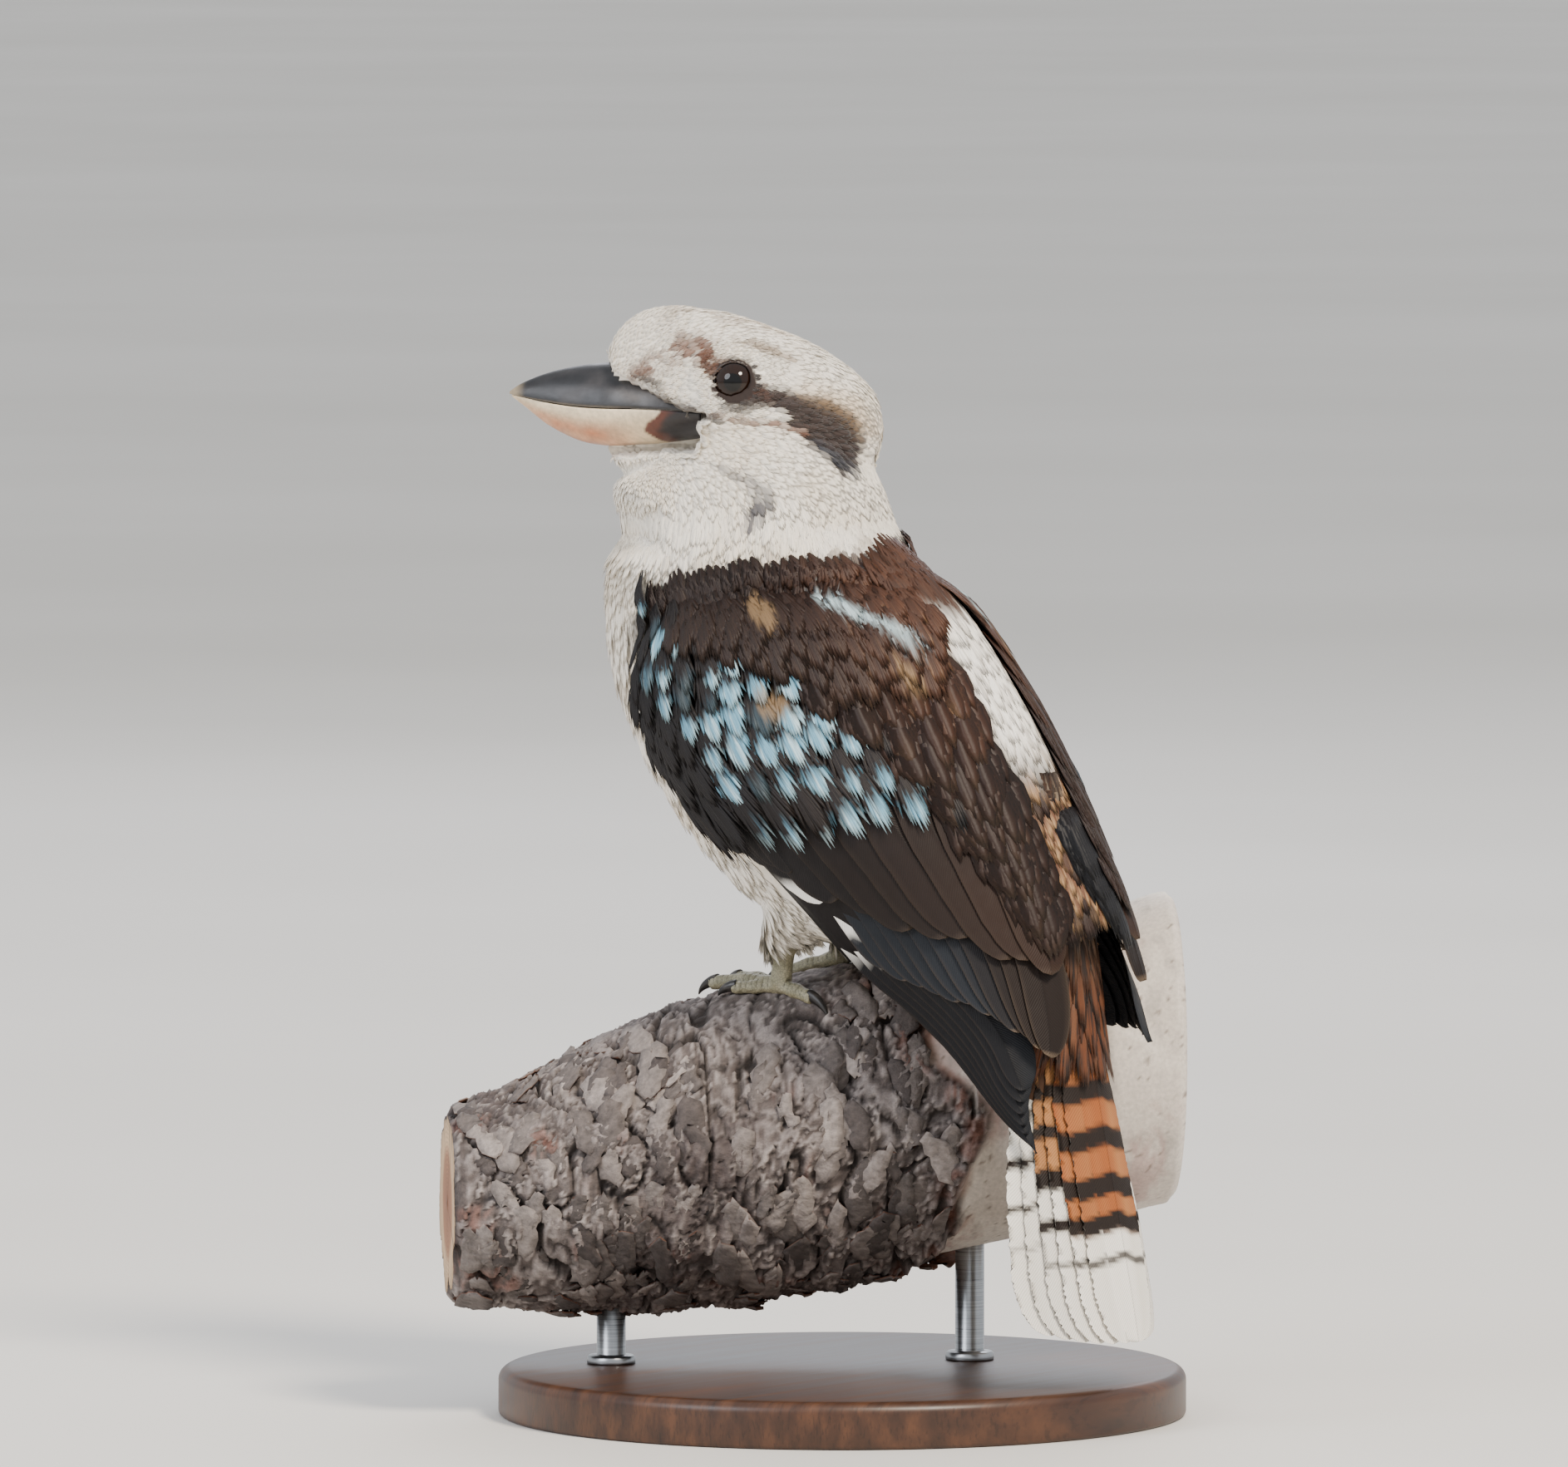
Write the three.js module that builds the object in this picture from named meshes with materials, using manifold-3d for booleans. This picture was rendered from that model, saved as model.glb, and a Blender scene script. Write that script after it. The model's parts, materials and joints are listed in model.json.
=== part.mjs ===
// A life-size laughing kookaburra that sits across a cut length of gum limb on a plain display stand.
// Lengths are millimetres. +Z is up, the bird faces -Y and its left side is +X.
// The exported origin is the middle of the stand's underside. The bird itself is drawn in a frame of
// its own, whose origin is the top of the limb between the feet.
import * as THREE from "three";
import { mergeVertices } from "three/addons/utils/BufferGeometryUtils.js";
import Module from "manifold-3d";

const wasm = await Module();
wasm.setup();

// Driving dimensions
const GAP = 0.3; // clearance between neighbouring pieces
const VANE_THICKNESS = 0.6;
const HEAD_CENTRE = new THREE.Vector3(0, -20, 198); // middle of the skull
const HEAD_TURN = THREE.MathUtils.degToRad(30); // the bird looks to its left
const LIMB_TURN = THREE.MathUtils.degToRad(134); // from +X to the limb's own axis
const TAIL_DROP = 122; // how far the tail tip hangs below the top of the limb
const TAIL_CLEARANCE = 11;
const BASE_THICKNESS = 16;
const BASE_RADIUS = 118;
const BASE_CENTRE = new THREE.Vector2(4, 26); // in the bird's frame
const BASE_TOP = -TAIL_DROP - TAIL_CLEARANCE;
const BASE_UNDERSIDE = BASE_TOP - BASE_THICKNESS;
const RIGHT_WING_LIFT = THREE.MathUtils.degToRad(3.2); // the right wing is held a little off the back
const RIGHT_WING_ROLL = THREE.MathUtils.degToRad(6);
const RIGHT_WING_RISE = 4;

const v3 = (x, y, z) => new THREE.Vector3(x, y, z);

// Solids

function solidOf(geometry) {
  const bare = geometry.clone();
  bare.deleteAttribute("normal");
  bare.deleteAttribute("uv");
  const merged = mergeVertices(bare, 1e-4);
  const mesh = new wasm.Mesh({
    numProp: 3,
    vertProperties: new Float32Array(merged.attributes.position.array),
    triVerts: new Uint32Array(merged.index.array),
  });
  const solid = new wasm.Manifold(mesh);
  if (solid.volume() > 0) return solid;
  for (let i = 0; i < mesh.triVerts.length; i += 3) {
    [mesh.triVerts[i + 1], mesh.triVerts[i + 2]] = [mesh.triVerts[i + 2], mesh.triVerts[i + 1]];
  }
  return new wasm.Manifold(mesh);
}

function geometryOf(solid) {
  const { numProp, vertProperties, triVerts } = solid.getMesh();
  const count = vertProperties.length / numProp;
  const position = new Float32Array(count * 3);
  for (let i = 0; i < count; i++) position.set(vertProperties.subarray(i * numProp, i * numProp + 3), i * 3);
  const geometry = new THREE.BufferGeometry();
  geometry.setAttribute("position", new THREE.BufferAttribute(position, 3));
  geometry.setIndex(new THREE.BufferAttribute(new Uint32Array(triVerts), 1));
  return geometry;
}

const joined = (solids) => solids.reduce((sum, solid) => sum.add(solid));
const largest = (solid) => solid.decompose().reduce((a, b) => (a.volume() >= b.volume() ? a : b));

// A closed skin through rings of equal point count. Its ends are closed by a fan round the ring's
// middle or, where the ring is a thin folded band, by a strip between its two halves.
function skin(rings, folded = false) {
  const points = rings.flat();
  const size = rings[0].length;
  const faces = [];
  for (let r = 0; r + 1 < rings.length; r++) {
    for (let i = 0; i < size; i++) {
      const a = r * size + i;
      const b = r * size + ((i + 1) % size);
      faces.push(a, b, a + size, b, b + size, a + size);
    }
  }
  for (const [start, flip] of [[0, true], [(rings.length - 1) * size, false]]) {
    const cap = (a, b, c) => faces.push(...(flip ? [a, c, b] : [a, b, c]));
    if (folded) {
      for (let i = 0; i + 1 < size / 2; i++) {
        const across = start + size - 1 - i;
        cap(start + i, start + i + 1, across);
        cap(start + i + 1, across - 1, across);
      }
      continue;
    }
    const centre = v3(0, 0, 0);
    for (let i = 0; i < size; i++) centre.addScaledVector(points[start + i], 1 / size);
    points.push(centre);
    for (let i = 0; i < size; i++) cap(points.length - 1, start + i, start + ((i + 1) % size));
  }
  const geometry = new THREE.BufferGeometry();
  geometry.setAttribute("position", new THREE.Float32BufferAttribute(points.flatMap((p) => p.toArray()), 3));
  geometry.setIndex(faces);
  return solidOf(geometry);
}

// Smooth values between the rows of a table of stations. at runs from 0 to the last row's number.
function between(rows, at) {
  const last = rows.length - 1;
  const i = Math.min(Math.max(Math.floor(at), 0), last - 1);
  const t = at - i;
  const row = (k) => rows[Math.min(Math.max(k, 0), last)];
  return rows[i].map((_, c) => {
    const [p, q, r, s] = [row(i - 1)[c], row(i)[c], row(i + 1)[c], row(i + 2)[c]];
    const slopeIn = (r - p) / 2;
    const slopeOut = (s - q) / 2;
    const square = t * t;
    const cube = square * t;
    return (2 * cube - 3 * square + 1) * q + (cube - 2 * square + t) * slopeIn
      + (3 * square - 2 * cube) * r + (cube - square) * slopeOut;
  });
}

const steps = (count, from, to) => Array.from({ length: count }, (_, i) => from + ((to - from) * i) / (count - 1));

// Torso and neck: one body from the rump up to the throat, before it is parted.
// Each station is the dorsal y and z, the ventral y and z, and the half width.
const TORSO = [
  [128, 18, 120, 6, 8],
  [126, 30, 106, -3, 21],
  [118, 49, 80, 1, 33],
  [107, 70, 46, 7, 42],
  [94, 92, 8, 16, 48],
  [80, 111, -22, 36, 51],
  [65, 127, -47, 64, 52],
  [50, 141, -64, 94, 50],
  [39, 154, -71, 122, 47],
  [33, 168, -69, 148, 41],
  [26, 182, -63, 168, 35],
  [14, 192, -48, 182, 27],
  [4, 197, -36, 190, 16],
];
const TORSO_RINGS = 24;
const TORSO_SIDES = 22;

function torsoRing(at, grow) {
  const [dorsalY, dorsalZ, ventralY, ventralZ, halfWidth] = between(TORSO, at);
  const dorsal = v3(0, dorsalY, dorsalZ);
  const ventral = v3(0, ventralY, ventralZ);
  const centre = dorsal.clone().add(ventral).multiplyScalar(0.5);
  const up = dorsal.clone().sub(ventral).multiplyScalar(0.5);
  up.setLength(up.length() + grow);
  return steps(TORSO_SIDES + 1, 0, 2 * Math.PI).slice(0, -1).map((angle) => {
    const across = Math.sign(Math.sin(angle)) * Math.abs(Math.sin(angle)) ** 0.92;
    return centre.clone().addScaledVector(up, Math.cos(angle)).add(v3((halfWidth + grow) * across, 0, 0));
  });
}

const torsoSkin = () => skin(steps(TORSO_RINGS, 0, TORSO.length - 1).map((at) => torsoRing(at, 0)));

// Head: stations along the face, each the distance forward of the skull's middle, crown height,
// throat height and half width.
const HEAD = [
  [49.5, 8, -15, 5],
  [48, 13, -18, 9],
  [44.5, 22, -22, 12.5],
  [38, 28.8, -27, 15],
  [30, 31.6, -31, 18.5],
  [20, 32.4, -34, 24],
  [8, 31, -36, 29],
  [-4, 27.6, -37, 32],
  [-16, 23.4, -37, 32.5],
  [-28, 17.6, -35, 30.5],
  [-39, 9.6, -30, 25],
  [-45, 3, -24, 17],
  [-48, -6, -14, 7],
];
const HEAD_RINGS = 19;
const HEAD_SIDES = 22;

// From the head's own frame (left, forward, up) to the bird's.
function fromHead(left, forward, up) {
  return v3(left, -forward, up).applyAxisAngle(v3(0, 0, 1), HEAD_TURN).add(HEAD_CENTRE);
}

// Fills a round section out towards a square one, for the broad flat crown.
const squared = (share) => Math.sign(share) * Math.abs(share) ** 0.87;

function headRing(at) {
  const [forward, top, bottom, halfWidth] = between(HEAD, at);
  const middle = (top + bottom) / 2;
  const half = (top - bottom) / 2;
  return steps(HEAD_SIDES + 1, 0, 2 * Math.PI).slice(0, -1).map((angle) =>
    fromHead(halfWidth * squared(Math.sin(angle)), forward, middle + half * squared(Math.cos(angle))));
}

const headSkin = () => skin(steps(HEAD_RINGS, 0, HEAD.length - 1).map(headRing));

// Bill: each station is the distance forward, the ridge (or keel), the mouth line and the half width.
const UPPER_BILL = [
  [81.4, 1.9, 1.0, 0.5],
  [77, 4.8, 0.3, 3.2],
  [68, 8.4, -1.2, 6.6],
  [58, 10.8, -2.4, 9.8],
  [48, 12.0, -2.9, 12.4],
  [36, 12.6, -2.9, 15.4],
  [26, 11.4, -3.1, 17.6],
  [16, 7.5, -3.6, 18.4],
];
const LOWER_BILL = [
  [80.6, 0.1, 0.7, 0.5],
  [76, -3.4, -0.1, 3.0],
  [68, -9.6, -1.6, 6.4],
  [58, -14.6, -2.8, 9.6],
  [48, -16.6, -3.3, 12.2],
  [36, -16.2, -3.3, 15.2],
  [26, -15.4, -3.5, 17.4],
  [16, -14.0, -4.0, 18.2],
];
const BILL_RINGS = 12;
const BILL_SIDES = 14;

function billRing(rows, at, grow) {
  const [forward, ridge, mouth, halfWidth] = between(rows, at);
  const side = Math.sign(ridge - mouth);
  const depth = Math.abs(ridge - mouth) + grow;
  return steps(BILL_SIDES + 1, 0, 2 * Math.PI).slice(0, -1).map((angle) => {
    const arch = Math.cos(angle);
    const up = arch > 0 ? depth * arch ** 1.15 : grow * arch;
    const across = Math.sign(Math.sin(angle)) * Math.abs(Math.sin(angle)) ** (arch > 0 ? 1.1 : 0.4);
    return fromHead((halfWidth + grow) * across, forward + (at < 0.01 ? grow : 0), mouth + side * up);
  });
}

const billSkin = (rows, grow) =>
  skin(steps(BILL_RINGS, 0, rows.length - 1).map((at) => billRing(rows, at, grow + 0.02)));

const NOSTRIL = { forward: 37, up: 6.2, length: 7, width: 1.6, depth: 5 };

function nostril(side) {
  const slit = new THREE.SphereGeometry(1, 8, 5);
  slit.scale(NOSTRIL.depth, NOSTRIL.length / 2, NOSTRIL.width / 2);
  slit.rotateX(THREE.MathUtils.degToRad(-24));
  const place = fromHead(side * 15.6, NOSTRIL.forward, NOSTRIL.up);
  slit.rotateZ(HEAD_TURN);
  slit.translate(place.x, place.y, place.z);
  return solidOf(slit);
}

// Eyes
const EYE = { left: 22.6, forward: -0.5, up: 7, radius: 8.2, lidRadius: 7.3, lidThickness: 1.5 };

function eyeball(side, grow) {
  const ball = new THREE.SphereGeometry(EYE.radius + grow, 14, 9);
  const place = fromHead(side * EYE.left, EYE.forward, EYE.up);
  ball.translate(place.x, place.y, place.z);
  return solidOf(ball);
}

// The lids are one soft ring round the eye, standing a little out of the cheek.
function lids(side) {
  const ring = new THREE.TorusGeometry(EYE.lidRadius, EYE.lidThickness, 5, 14);
  ring.scale(1, 0.93, 1);
  ring.rotateY(Math.PI / 2);
  ring.rotateZ(HEAD_TURN);
  const place = fromHead(side * (EYE.left + 4.6), EYE.forward, EYE.up);
  ring.translate(place.x, place.y, place.z);
  return solidOf(ring);
}

// A thin knife through the plumage, to part two nodes.
function knife(from, to, width) {
  const length = from.distanceTo(to) + 60;
  const blade = new THREE.BoxGeometry(width, length, GAP);
  const along = to.clone().sub(from).normalize();
  blade.rotateX(Math.atan2(along.z, along.y));
  const middle = from.clone().add(to).multiplyScalar(0.5);
  blade.translate(0, middle.y, middle.z);
  return solidOf(blade);
}

// Feathered sheets: stations of three points, at the leading edge, the crest and the far edge.
// A sheet's point is found by station number and by v, which runs from 0 at the leading edge to 1.
function sheetPoint(rows, at, v) {
  const row = between(rows, at);
  const [lead, crest, far] = [0, 3, 6].map((k) => v3(row[k], row[k + 1], row[k + 2]));
  const handle = crest.multiplyScalar(2).addScaledVector(lead, -0.5).addScaledVector(far, -0.5);
  return lead.multiplyScalar((1 - v) ** 2).addScaledVector(handle, 2 * v * (1 - v)).addScaledVector(far, v * v);
}

function sheetFrame(rows, at, v) {
  const nudge = 0.02;
  const point = sheetPoint(rows, at, v);
  const down = sheetPoint(rows, at + nudge, v).sub(sheetPoint(rows, at - nudge, v)).divideScalar(2 * nudge);
  const over = sheetPoint(rows, at, v + nudge).sub(sheetPoint(rows, at, v - nudge)).divideScalar(2 * nudge);
  const out = new THREE.Vector3().crossVectors(down, over).normalize();
  return { point, down, over, out };
}

// The point that lies off millimetres to the side of a feather's shaft, measured along the sheet.
// Beyond the limits in v the feather's edge is pressed together, so that it ends with the sheet.
const PRESSED = 0.15;
function besideShaft(rows, at, v, along, off, height, limits) {
  const { down, over, out } = sheetFrame(rows, at, v);
  const side = new THREE.Vector3().crossVectors(out, along).normalize().multiplyScalar(off);
  const dd = down.dot(down);
  const oo = over.dot(over);
  const mixed = down.dot(over);
  const det = dd * oo - mixed * mixed;
  const a = (side.dot(down) * oo - side.dot(over) * mixed) / det;
  const b = (side.dot(over) * dd - side.dot(down) * mixed) / det;
  const kept = THREE.MathUtils.clamp(v + b, limits[0], limits[1]);
  const place = sheetFrame(rows, at + a, kept + PRESSED * (v + b - kept));
  return place.point.addScaledVector(place.out, height);
}

const ROOT_SINK = 1.5;
const SHAFT_CROWN = 0.2;
const mix = (a, b, share) => a.map((x, i) => x + (b[i] - x) * share);

// How wide a feather is along its length, as a share of its full half width.
function vaneWidth(share, blunt) {
  const base = Math.min(1, 0.45 + 1.6 * share);
  const tip = share < blunt ? 1 : Math.sqrt(Math.max(1 - ((share - blunt) / (1 - blunt)) ** 2, 0));
  return base * Math.max(tip, 0.34);
}

// One feather on a sheet. Its root is sunk into the lens below. tilt raises the edge that lies over
// the next feather and lowers the other one.
function vane(rows, spec) {
  const { root, tip, halfWidth, height, tilt, stations, blunt = 0.72, limits = [0, 1] } = spec;
  const shares = stations > 4 ? [0, 0.24, 0.55, 0.86, 1] : [0, 0.32, 0.78, 1];
  const place = (share) => mix(root, tip, share);
  const upper = [];
  const lower = [];
  for (const share of shares) {
    const [at, v] = place(share);
    const along = sheetPoint(rows, ...place(share + 0.03)).sub(sheetPoint(rows, ...place(share - 0.03))).normalize();
    const half = halfWidth * vaneWidth(share, blunt);
    const sunk = share === 0 ? ROOT_SINK : 0;
    for (const side of [-1, 0, 1]) {
      const lift = height - sunk + (side * tilt) / 2 + (side === 0 ? SHAFT_CROWN : 0);
      upper.push(besideShaft(rows, at, v, along, side * half, lift, limits));
      lower.push(besideShaft(rows, at, v, along, side * half, lift - VANE_THICKNESS, limits));
    }
  }
  return ribbon(upper, lower, 3);
}

// A closed plate from matching upper and lower grids, split into triangles alike on both faces.
function ribbon(upper, lower, across) {
  const n = upper.length;
  const rows = n / across;
  const faces = [];
  const both = (a, b, c) => faces.push(a, b, c, n + a, n + c, n + b);
  for (let r = 0; r + 1 < rows; r++) {
    for (let k = 0; k + 1 < across; k++) {
      const a = r * across + k;
      both(a, a + 1, a + across);
      both(a + 1, a + across + 1, a + across);
    }
  }
  const wall = (a, b) => faces.push(b, a, n + a, b, n + a, n + b);
  for (let k = 0; k + 1 < across; k++) {
    wall(k, k + 1);
    wall((rows - 1) * across + k + 1, (rows - 1) * across + k);
  }
  for (let r = 0; r + 1 < rows; r++) {
    wall((r + 1) * across, r * across);
    wall(r * across + across - 1, (r + 1) * across + across - 1);
  }
  const geometry = new THREE.BufferGeometry();
  geometry.setAttribute("position", new THREE.Float32BufferAttribute([...upper, ...lower].flatMap((p) => p.toArray()), 3));
  geometry.setIndex(faces);
  return solidOf(geometry);
}

// The lens that carries a sheet's feathers. core tells its stations, how high its face stands over the
// sheet and how deep it is there, and how far it spreads in v. With room set it is the space that the
// whole feathered piece needs in the plumage round it.
const LENS_ACROSS = 7;
const LENS_RINGS = 11;
const HEADROOM = 14;
const ROOM_MARGIN = 0.05; // in v and in stations

function lens(rows, core, room) {
  const pitch = (core.to - core.from) / (LENS_RINGS - 1);
  const last = room ? core.roomTo : core.to;
  const stations = steps(Math.round((last - core.from) / pitch) + 1, core.from, last);
  const across = steps(LENS_ACROSS, ...core.spread);
  if (room) {
    stations[0] -= ROOM_MARGIN;
    across.unshift(core.spread[0] - ROOM_MARGIN);
    across.push(core.spread[1] + ROOM_MARGIN);
  }
  return skin(stations.map((at) => {
    const share = (at - core.from) / (last - core.from);
    const pick = (list) => between(list.map((value) => [value]), share * (list.length - 1))[0];
    const face = room ? 0 : pick(core.rise);
    const depth = pick(room ? core.roomDepth : core.depth);
    const over = [];
    const under = [];
    for (const v of across) {
      const edge = THREE.MathUtils.clamp((2 * (v - core.spread[0])) / (core.spread[1] - core.spread[0]) - 1, -1, 1);
      const round = Math.sqrt(Math.max(1 - edge ** 4, room ? 0.2 : 0.03));
      const { point, out } = sheetFrame(rows, at, v);
      over.push(point.clone().addScaledVector(out, face + (room ? HEADROOM : 0)));
      under.push(point.clone().addScaledVector(out, face - depth * round));
    }
    return [...over, ...under.reverse()];
  }), true);
}

// Wing: stations from the shoulder to the wing tip, with the leading edge, the crest and the back edge.
const WING = [
  [43, -39, 119, 53, 4, 136, 14, 55, 140],
  [50, -31, 91, 58, 26, 108, 13, 79, 114],
  [52, -15, 68, 59, 45, 83, 13, 97, 88],
  [50, 15, 42, 56, 67, 57, 13, 111, 62],
  [46, 34, 22, 50, 85, 33, 13, 123, 38],
  [43, 56, 0, 44, 102, 9, 14, 132, 14],
  [41, 77, -13, 40, 115, -10, 17, 136, -12],
  [39, 104, -35, 38, 123, -30, 25, 137, -31],
  [37, 127, -54, 36.5, 133, -52, 30, 139, -50],
];
const WING_CORE = {
  from: 0.1, to: 4.6, rise: [0.4, 0.8, 0.8, -0.8, -3.6], depth: [7, 10, 12, 14, 12], spread: [0.02, 0.97],
  roomTo: 7.75, roomDepth: [8, 11.5, 14, 17, 17.5, 17, 15.5, 15],
};
const WING_SHOULDER = v3(44, -20, 124);
const WING_LENGTHWAYS = v3(0, 0.66, -0.75);

// Tiers of wing feathers, from the lowest to the one on top: primaries, secondaries with the
// tertials, and greater coverts. Roots and tips run along lines on the sheet, from the outermost
// feather to the innermost, as [station, v] pairs.
const PRIMARIES = {
  count: 5, roots: [[3.3, 0.17], [3.7, 0.38]], tips: [[7.9, 0.3], [6.9, 0.72]],
  halfWidth: 7.5, height: -10.2, step: 0.92, tilt: -2.2, stations: 5,
};
const TIGHTER_TIPS = [[7.3, 0.3], [6.5, 0.72]]; // the right wing is folded further
const SECONDARIES = {
  count: 10, roots: [[2.9, 0.12], [2.8, 0.90]], tips: [[4.7, 0.16], [6.35, 0.86]],
  halfWidth: 9.5, height: -4.7, step: 0.4, tilt: -2.2, stations: 5,
};
const GREATER_COVERTS = {
  count: 9, roots: [[2.0, 0.08], [2.3, 0.92]], tips: [[3.9, 0.12], [5.3, 0.92]],
  halfWidth: 9, height: -1.5, step: 0.42, tilt: -1.6, stations: 4,
};

function tier(rows, spec) {
  const { count, roots, tips, height, step, ...rest } = spec;
  return steps(count, 0, 1).map((share, i) =>
    vane(rows, { ...rest, root: mix(...roots, share), tip: mix(...tips, share), height: height + step * i }));
}

function wing(primaries) {
  return joined([
    lens(WING, WING_CORE, false),
    ...tier(WING, primaries),
    ...tier(WING, SECONDARIES),
    ...tier(WING, GREATER_COVERTS),
  ]);
}

// The right wing is the left one mirrored, then lifted and rolled off the back about its shoulder.
function rightWingPlace() {
  const shoulder = WING_SHOULDER.clone().multiply(v3(-1, 1, 1));
  const lengthways = WING_LENGTHWAYS.clone().normalize();
  return new THREE.Matrix4().makeTranslation(shoulder.clone().add(v3(0, 0, RIGHT_WING_RISE)))
    .multiply(new THREE.Matrix4().makeRotationX(RIGHT_WING_LIFT))
    .multiply(new THREE.Matrix4().makeRotationAxis(lengthways, RIGHT_WING_ROLL))
    .multiply(new THREE.Matrix4().makeTranslation(shoulder.clone().negate()))
    .multiply(new THREE.Matrix4().makeScale(-1, 1, 1));
}

const placed = (solid, matrix) => solidOf(geometryOf(solid).applyMatrix4(matrix));

// Tail: stations of the left edge, the crest and the right edge.
const TAIL_STATIONS = [
  // height, depth behind the feet, half width, droop of the edges
  [42, 119, 12, 6],
  [12, 124.5, 17, 8],
  [-24, 129, 26.5, 17],
  [-50, 133.5, 37, 18.5],
  [-72, 138, 40, 16],
  [-98, 143.5, 39, 15],
  [-TAIL_DROP + 3, 147.5, 36, 12],
];
const TAIL = TAIL_STATIONS.map(([z, y, halfWidth, droop]) => [
  halfWidth, y - droop, z, 0, y, z, -halfWidth, y - droop, z]);
const TAIL_CORE = {
  from: 0.1, to: 2.4, rise: [1.5, 1.0, -0.6], depth: [11, 12, 7], spread: [0.03, 0.97],
  roomTo: 3.32, roomDepth: [12.5, 14, 14.5, 15],
};
const TAIL_PAIRS = 6;
const MIDLINE_CLEARANCE = 0.03; // in v

function tail() {
  const vanes = [];
  for (let i = TAIL_PAIRS - 1; i >= 0; i--) {
    const out = (i + 0.5) / TAIL_PAIRS;
    for (const side of [-1, 1]) {
      const midline = 0.5 + side * (i === 0 ? -0.2 : MIDLINE_CLEARANCE);
      vanes.push(vane(TAIL, {
        root: [0.7, 0.5 + side * 0.22 * out],
        tip: [6.0 - 0.3 * out ** 2, 0.5 + side * 0.44 * out],
        halfWidth: 12,
        height: (i === 0 && side > 0 ? 1.2 : 0) - 1.1 * i,
        tilt: side * 2.6,
        stations: 5,
        blunt: 0.8,
        limits: side < 0 ? [0, midline] : [midline, 1],
      }));
    }
  }
  return joined([lens(TAIL, TAIL_CORE, false), ...vanes]);
}

// Limb: a rough broken stub whose bark ends in a step, and a smooth pale stretch beyond it.
// Each station is the distance along the axis from the feet, crest, underside and half width.
const LIMB = [
  [-118, -44, -111, 35],
  [-90, -33, -114, 43],
  [-60, -18, -115, 49],
  [-30, -6, -113, 53],
  [0, 0, -110, 54],
  [30, 6, -105, 54],
  [60, 12, -99, 54],
  [90, 19, -93, 54],
  [118, 27, -87, 53],
  [132, 31, -84, 52],
];
const LIMB_RINGS = 24;
const LIMB_SIDES = 26;
const BARK_EDGE = 52;
const BARK_DEPTH = 4.5;
const limbAxis = v3(Math.cos(LIMB_TURN), Math.sin(LIMB_TURN), 0);
const limbAcross = v3(-Math.sin(LIMB_TURN), Math.cos(LIMB_TURN), 0); // away from the tail

// The limb's section at a distance along it.
function limbSection(along) {
  let i = LIMB.findIndex(([x]) => x > along);
  i = i < 0 ? LIMB.length - 1 : Math.max(i, 1);
  const share = (along - LIMB[i - 1][0]) / (LIMB[i][0] - LIMB[i - 1][0]);
  const [, crest, underside, halfWidth] = between(LIMB, i - 1 + share);
  return { crest, underside, halfWidth };
}

// Height of the limb's smooth top under a point of the bird's frame.
function limbTop(x, y) {
  const along = x * limbAxis.x + y * limbAxis.y;
  const across = x * limbAcross.x + y * limbAcross.y;
  const { crest, underside, halfWidth } = limbSection(along);
  const half = (crest - underside) / 2;
  return crest - half + half * Math.sqrt(1 - (across / halfWidth) ** 2);
}

function barkRelief(along, angle) {
  const ridges = 1.5 * Math.sin(angle * 7 + along * 0.045 + 1.3 * Math.sin(along * 0.06 + angle * 2));
  const plates = 1.1 * Math.sin(angle * 4 - along * 0.11) * Math.sin(along * 0.09 + angle * 3);
  const edge = BARK_EDGE + 9 * Math.sin(angle * 3 + 0.8) + 5 * Math.sin(angle * 7);
  const rough = THREE.MathUtils.smoothstep(edge - along, -3, 3);
  const top = Math.max(Math.cos(angle), 0) ** 2; // worn flat where the bird sits
  const bare = (rough - 1) * BARK_DEPTH * (1 - 0.4 * top);
  return bare + rough * (1 - 0.85 * top) * (ridges + plates);
}

function limb() {
  const alongs = steps(LIMB_RINGS, LIMB[0][0], LIMB[LIMB.length - 1][0]);
  return skin(alongs.map((along, r) => {
    const { crest, underside, halfWidth } = limbSection(along);
    const half = (crest - underside) / 2;
    const rim = r === 0 || r === LIMB_RINGS - 1 ? -2 : 0;
    return steps(LIMB_SIDES + 1, 0, 2 * Math.PI).slice(0, -1).map((angle) => {
      const relief = barkRelief(along, angle) + rim;
      return limbAxis.clone().multiplyScalar(along)
        .addScaledVector(limbAcross, (halfWidth + relief) * Math.sin(angle))
        .add(v3(0, 0, crest - half + (half + relief) * Math.cos(angle)));
    });
  }));
}

// Round bars along a path of [point, radius] stops, such as a toe, claw or shank.
function bar(stops, sides, grow) {
  const rings = stops.map(({ at, radius }, i) => {
    const ahead = stops[Math.min(i + 1, stops.length - 1)].at;
    const behind = stops[Math.max(i - 1, 0)].at;
    const along = ahead.clone().sub(behind).normalize();
    const side = new THREE.Vector3().crossVectors(along, v3(0, 0, 1)).normalize();
    const up = new THREE.Vector3().crossVectors(side, along);
    const reach = i === 0 ? -grow : i === stops.length - 1 ? grow : 0;
    return steps(sides + 1, 0, 2 * Math.PI).slice(0, -1).map((angle) =>
      at.clone().addScaledVector(side, (radius + grow) * Math.cos(angle))
        .addScaledVector(up, (radius + grow) * Math.sin(angle))
        .addScaledVector(along, reach));
  });
  return skin(rings);
}

// Feet: each toe is its turn from straight ahead, its length, its pad radius and its claw's length.
const FOOT = { x: 17, y: 9, shank: 3.6 };
const TOES = [
  { turn: 2, length: 29, pad: 3.1, claw: 9 },
  { turn: -13, length: 24, pad: 2.9, claw: 8 },
  { turn: 24, length: 17, pad: 2.7, claw: 7 },
  { turn: 176, length: 15, pad: 3.0, claw: 9 },
];

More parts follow.
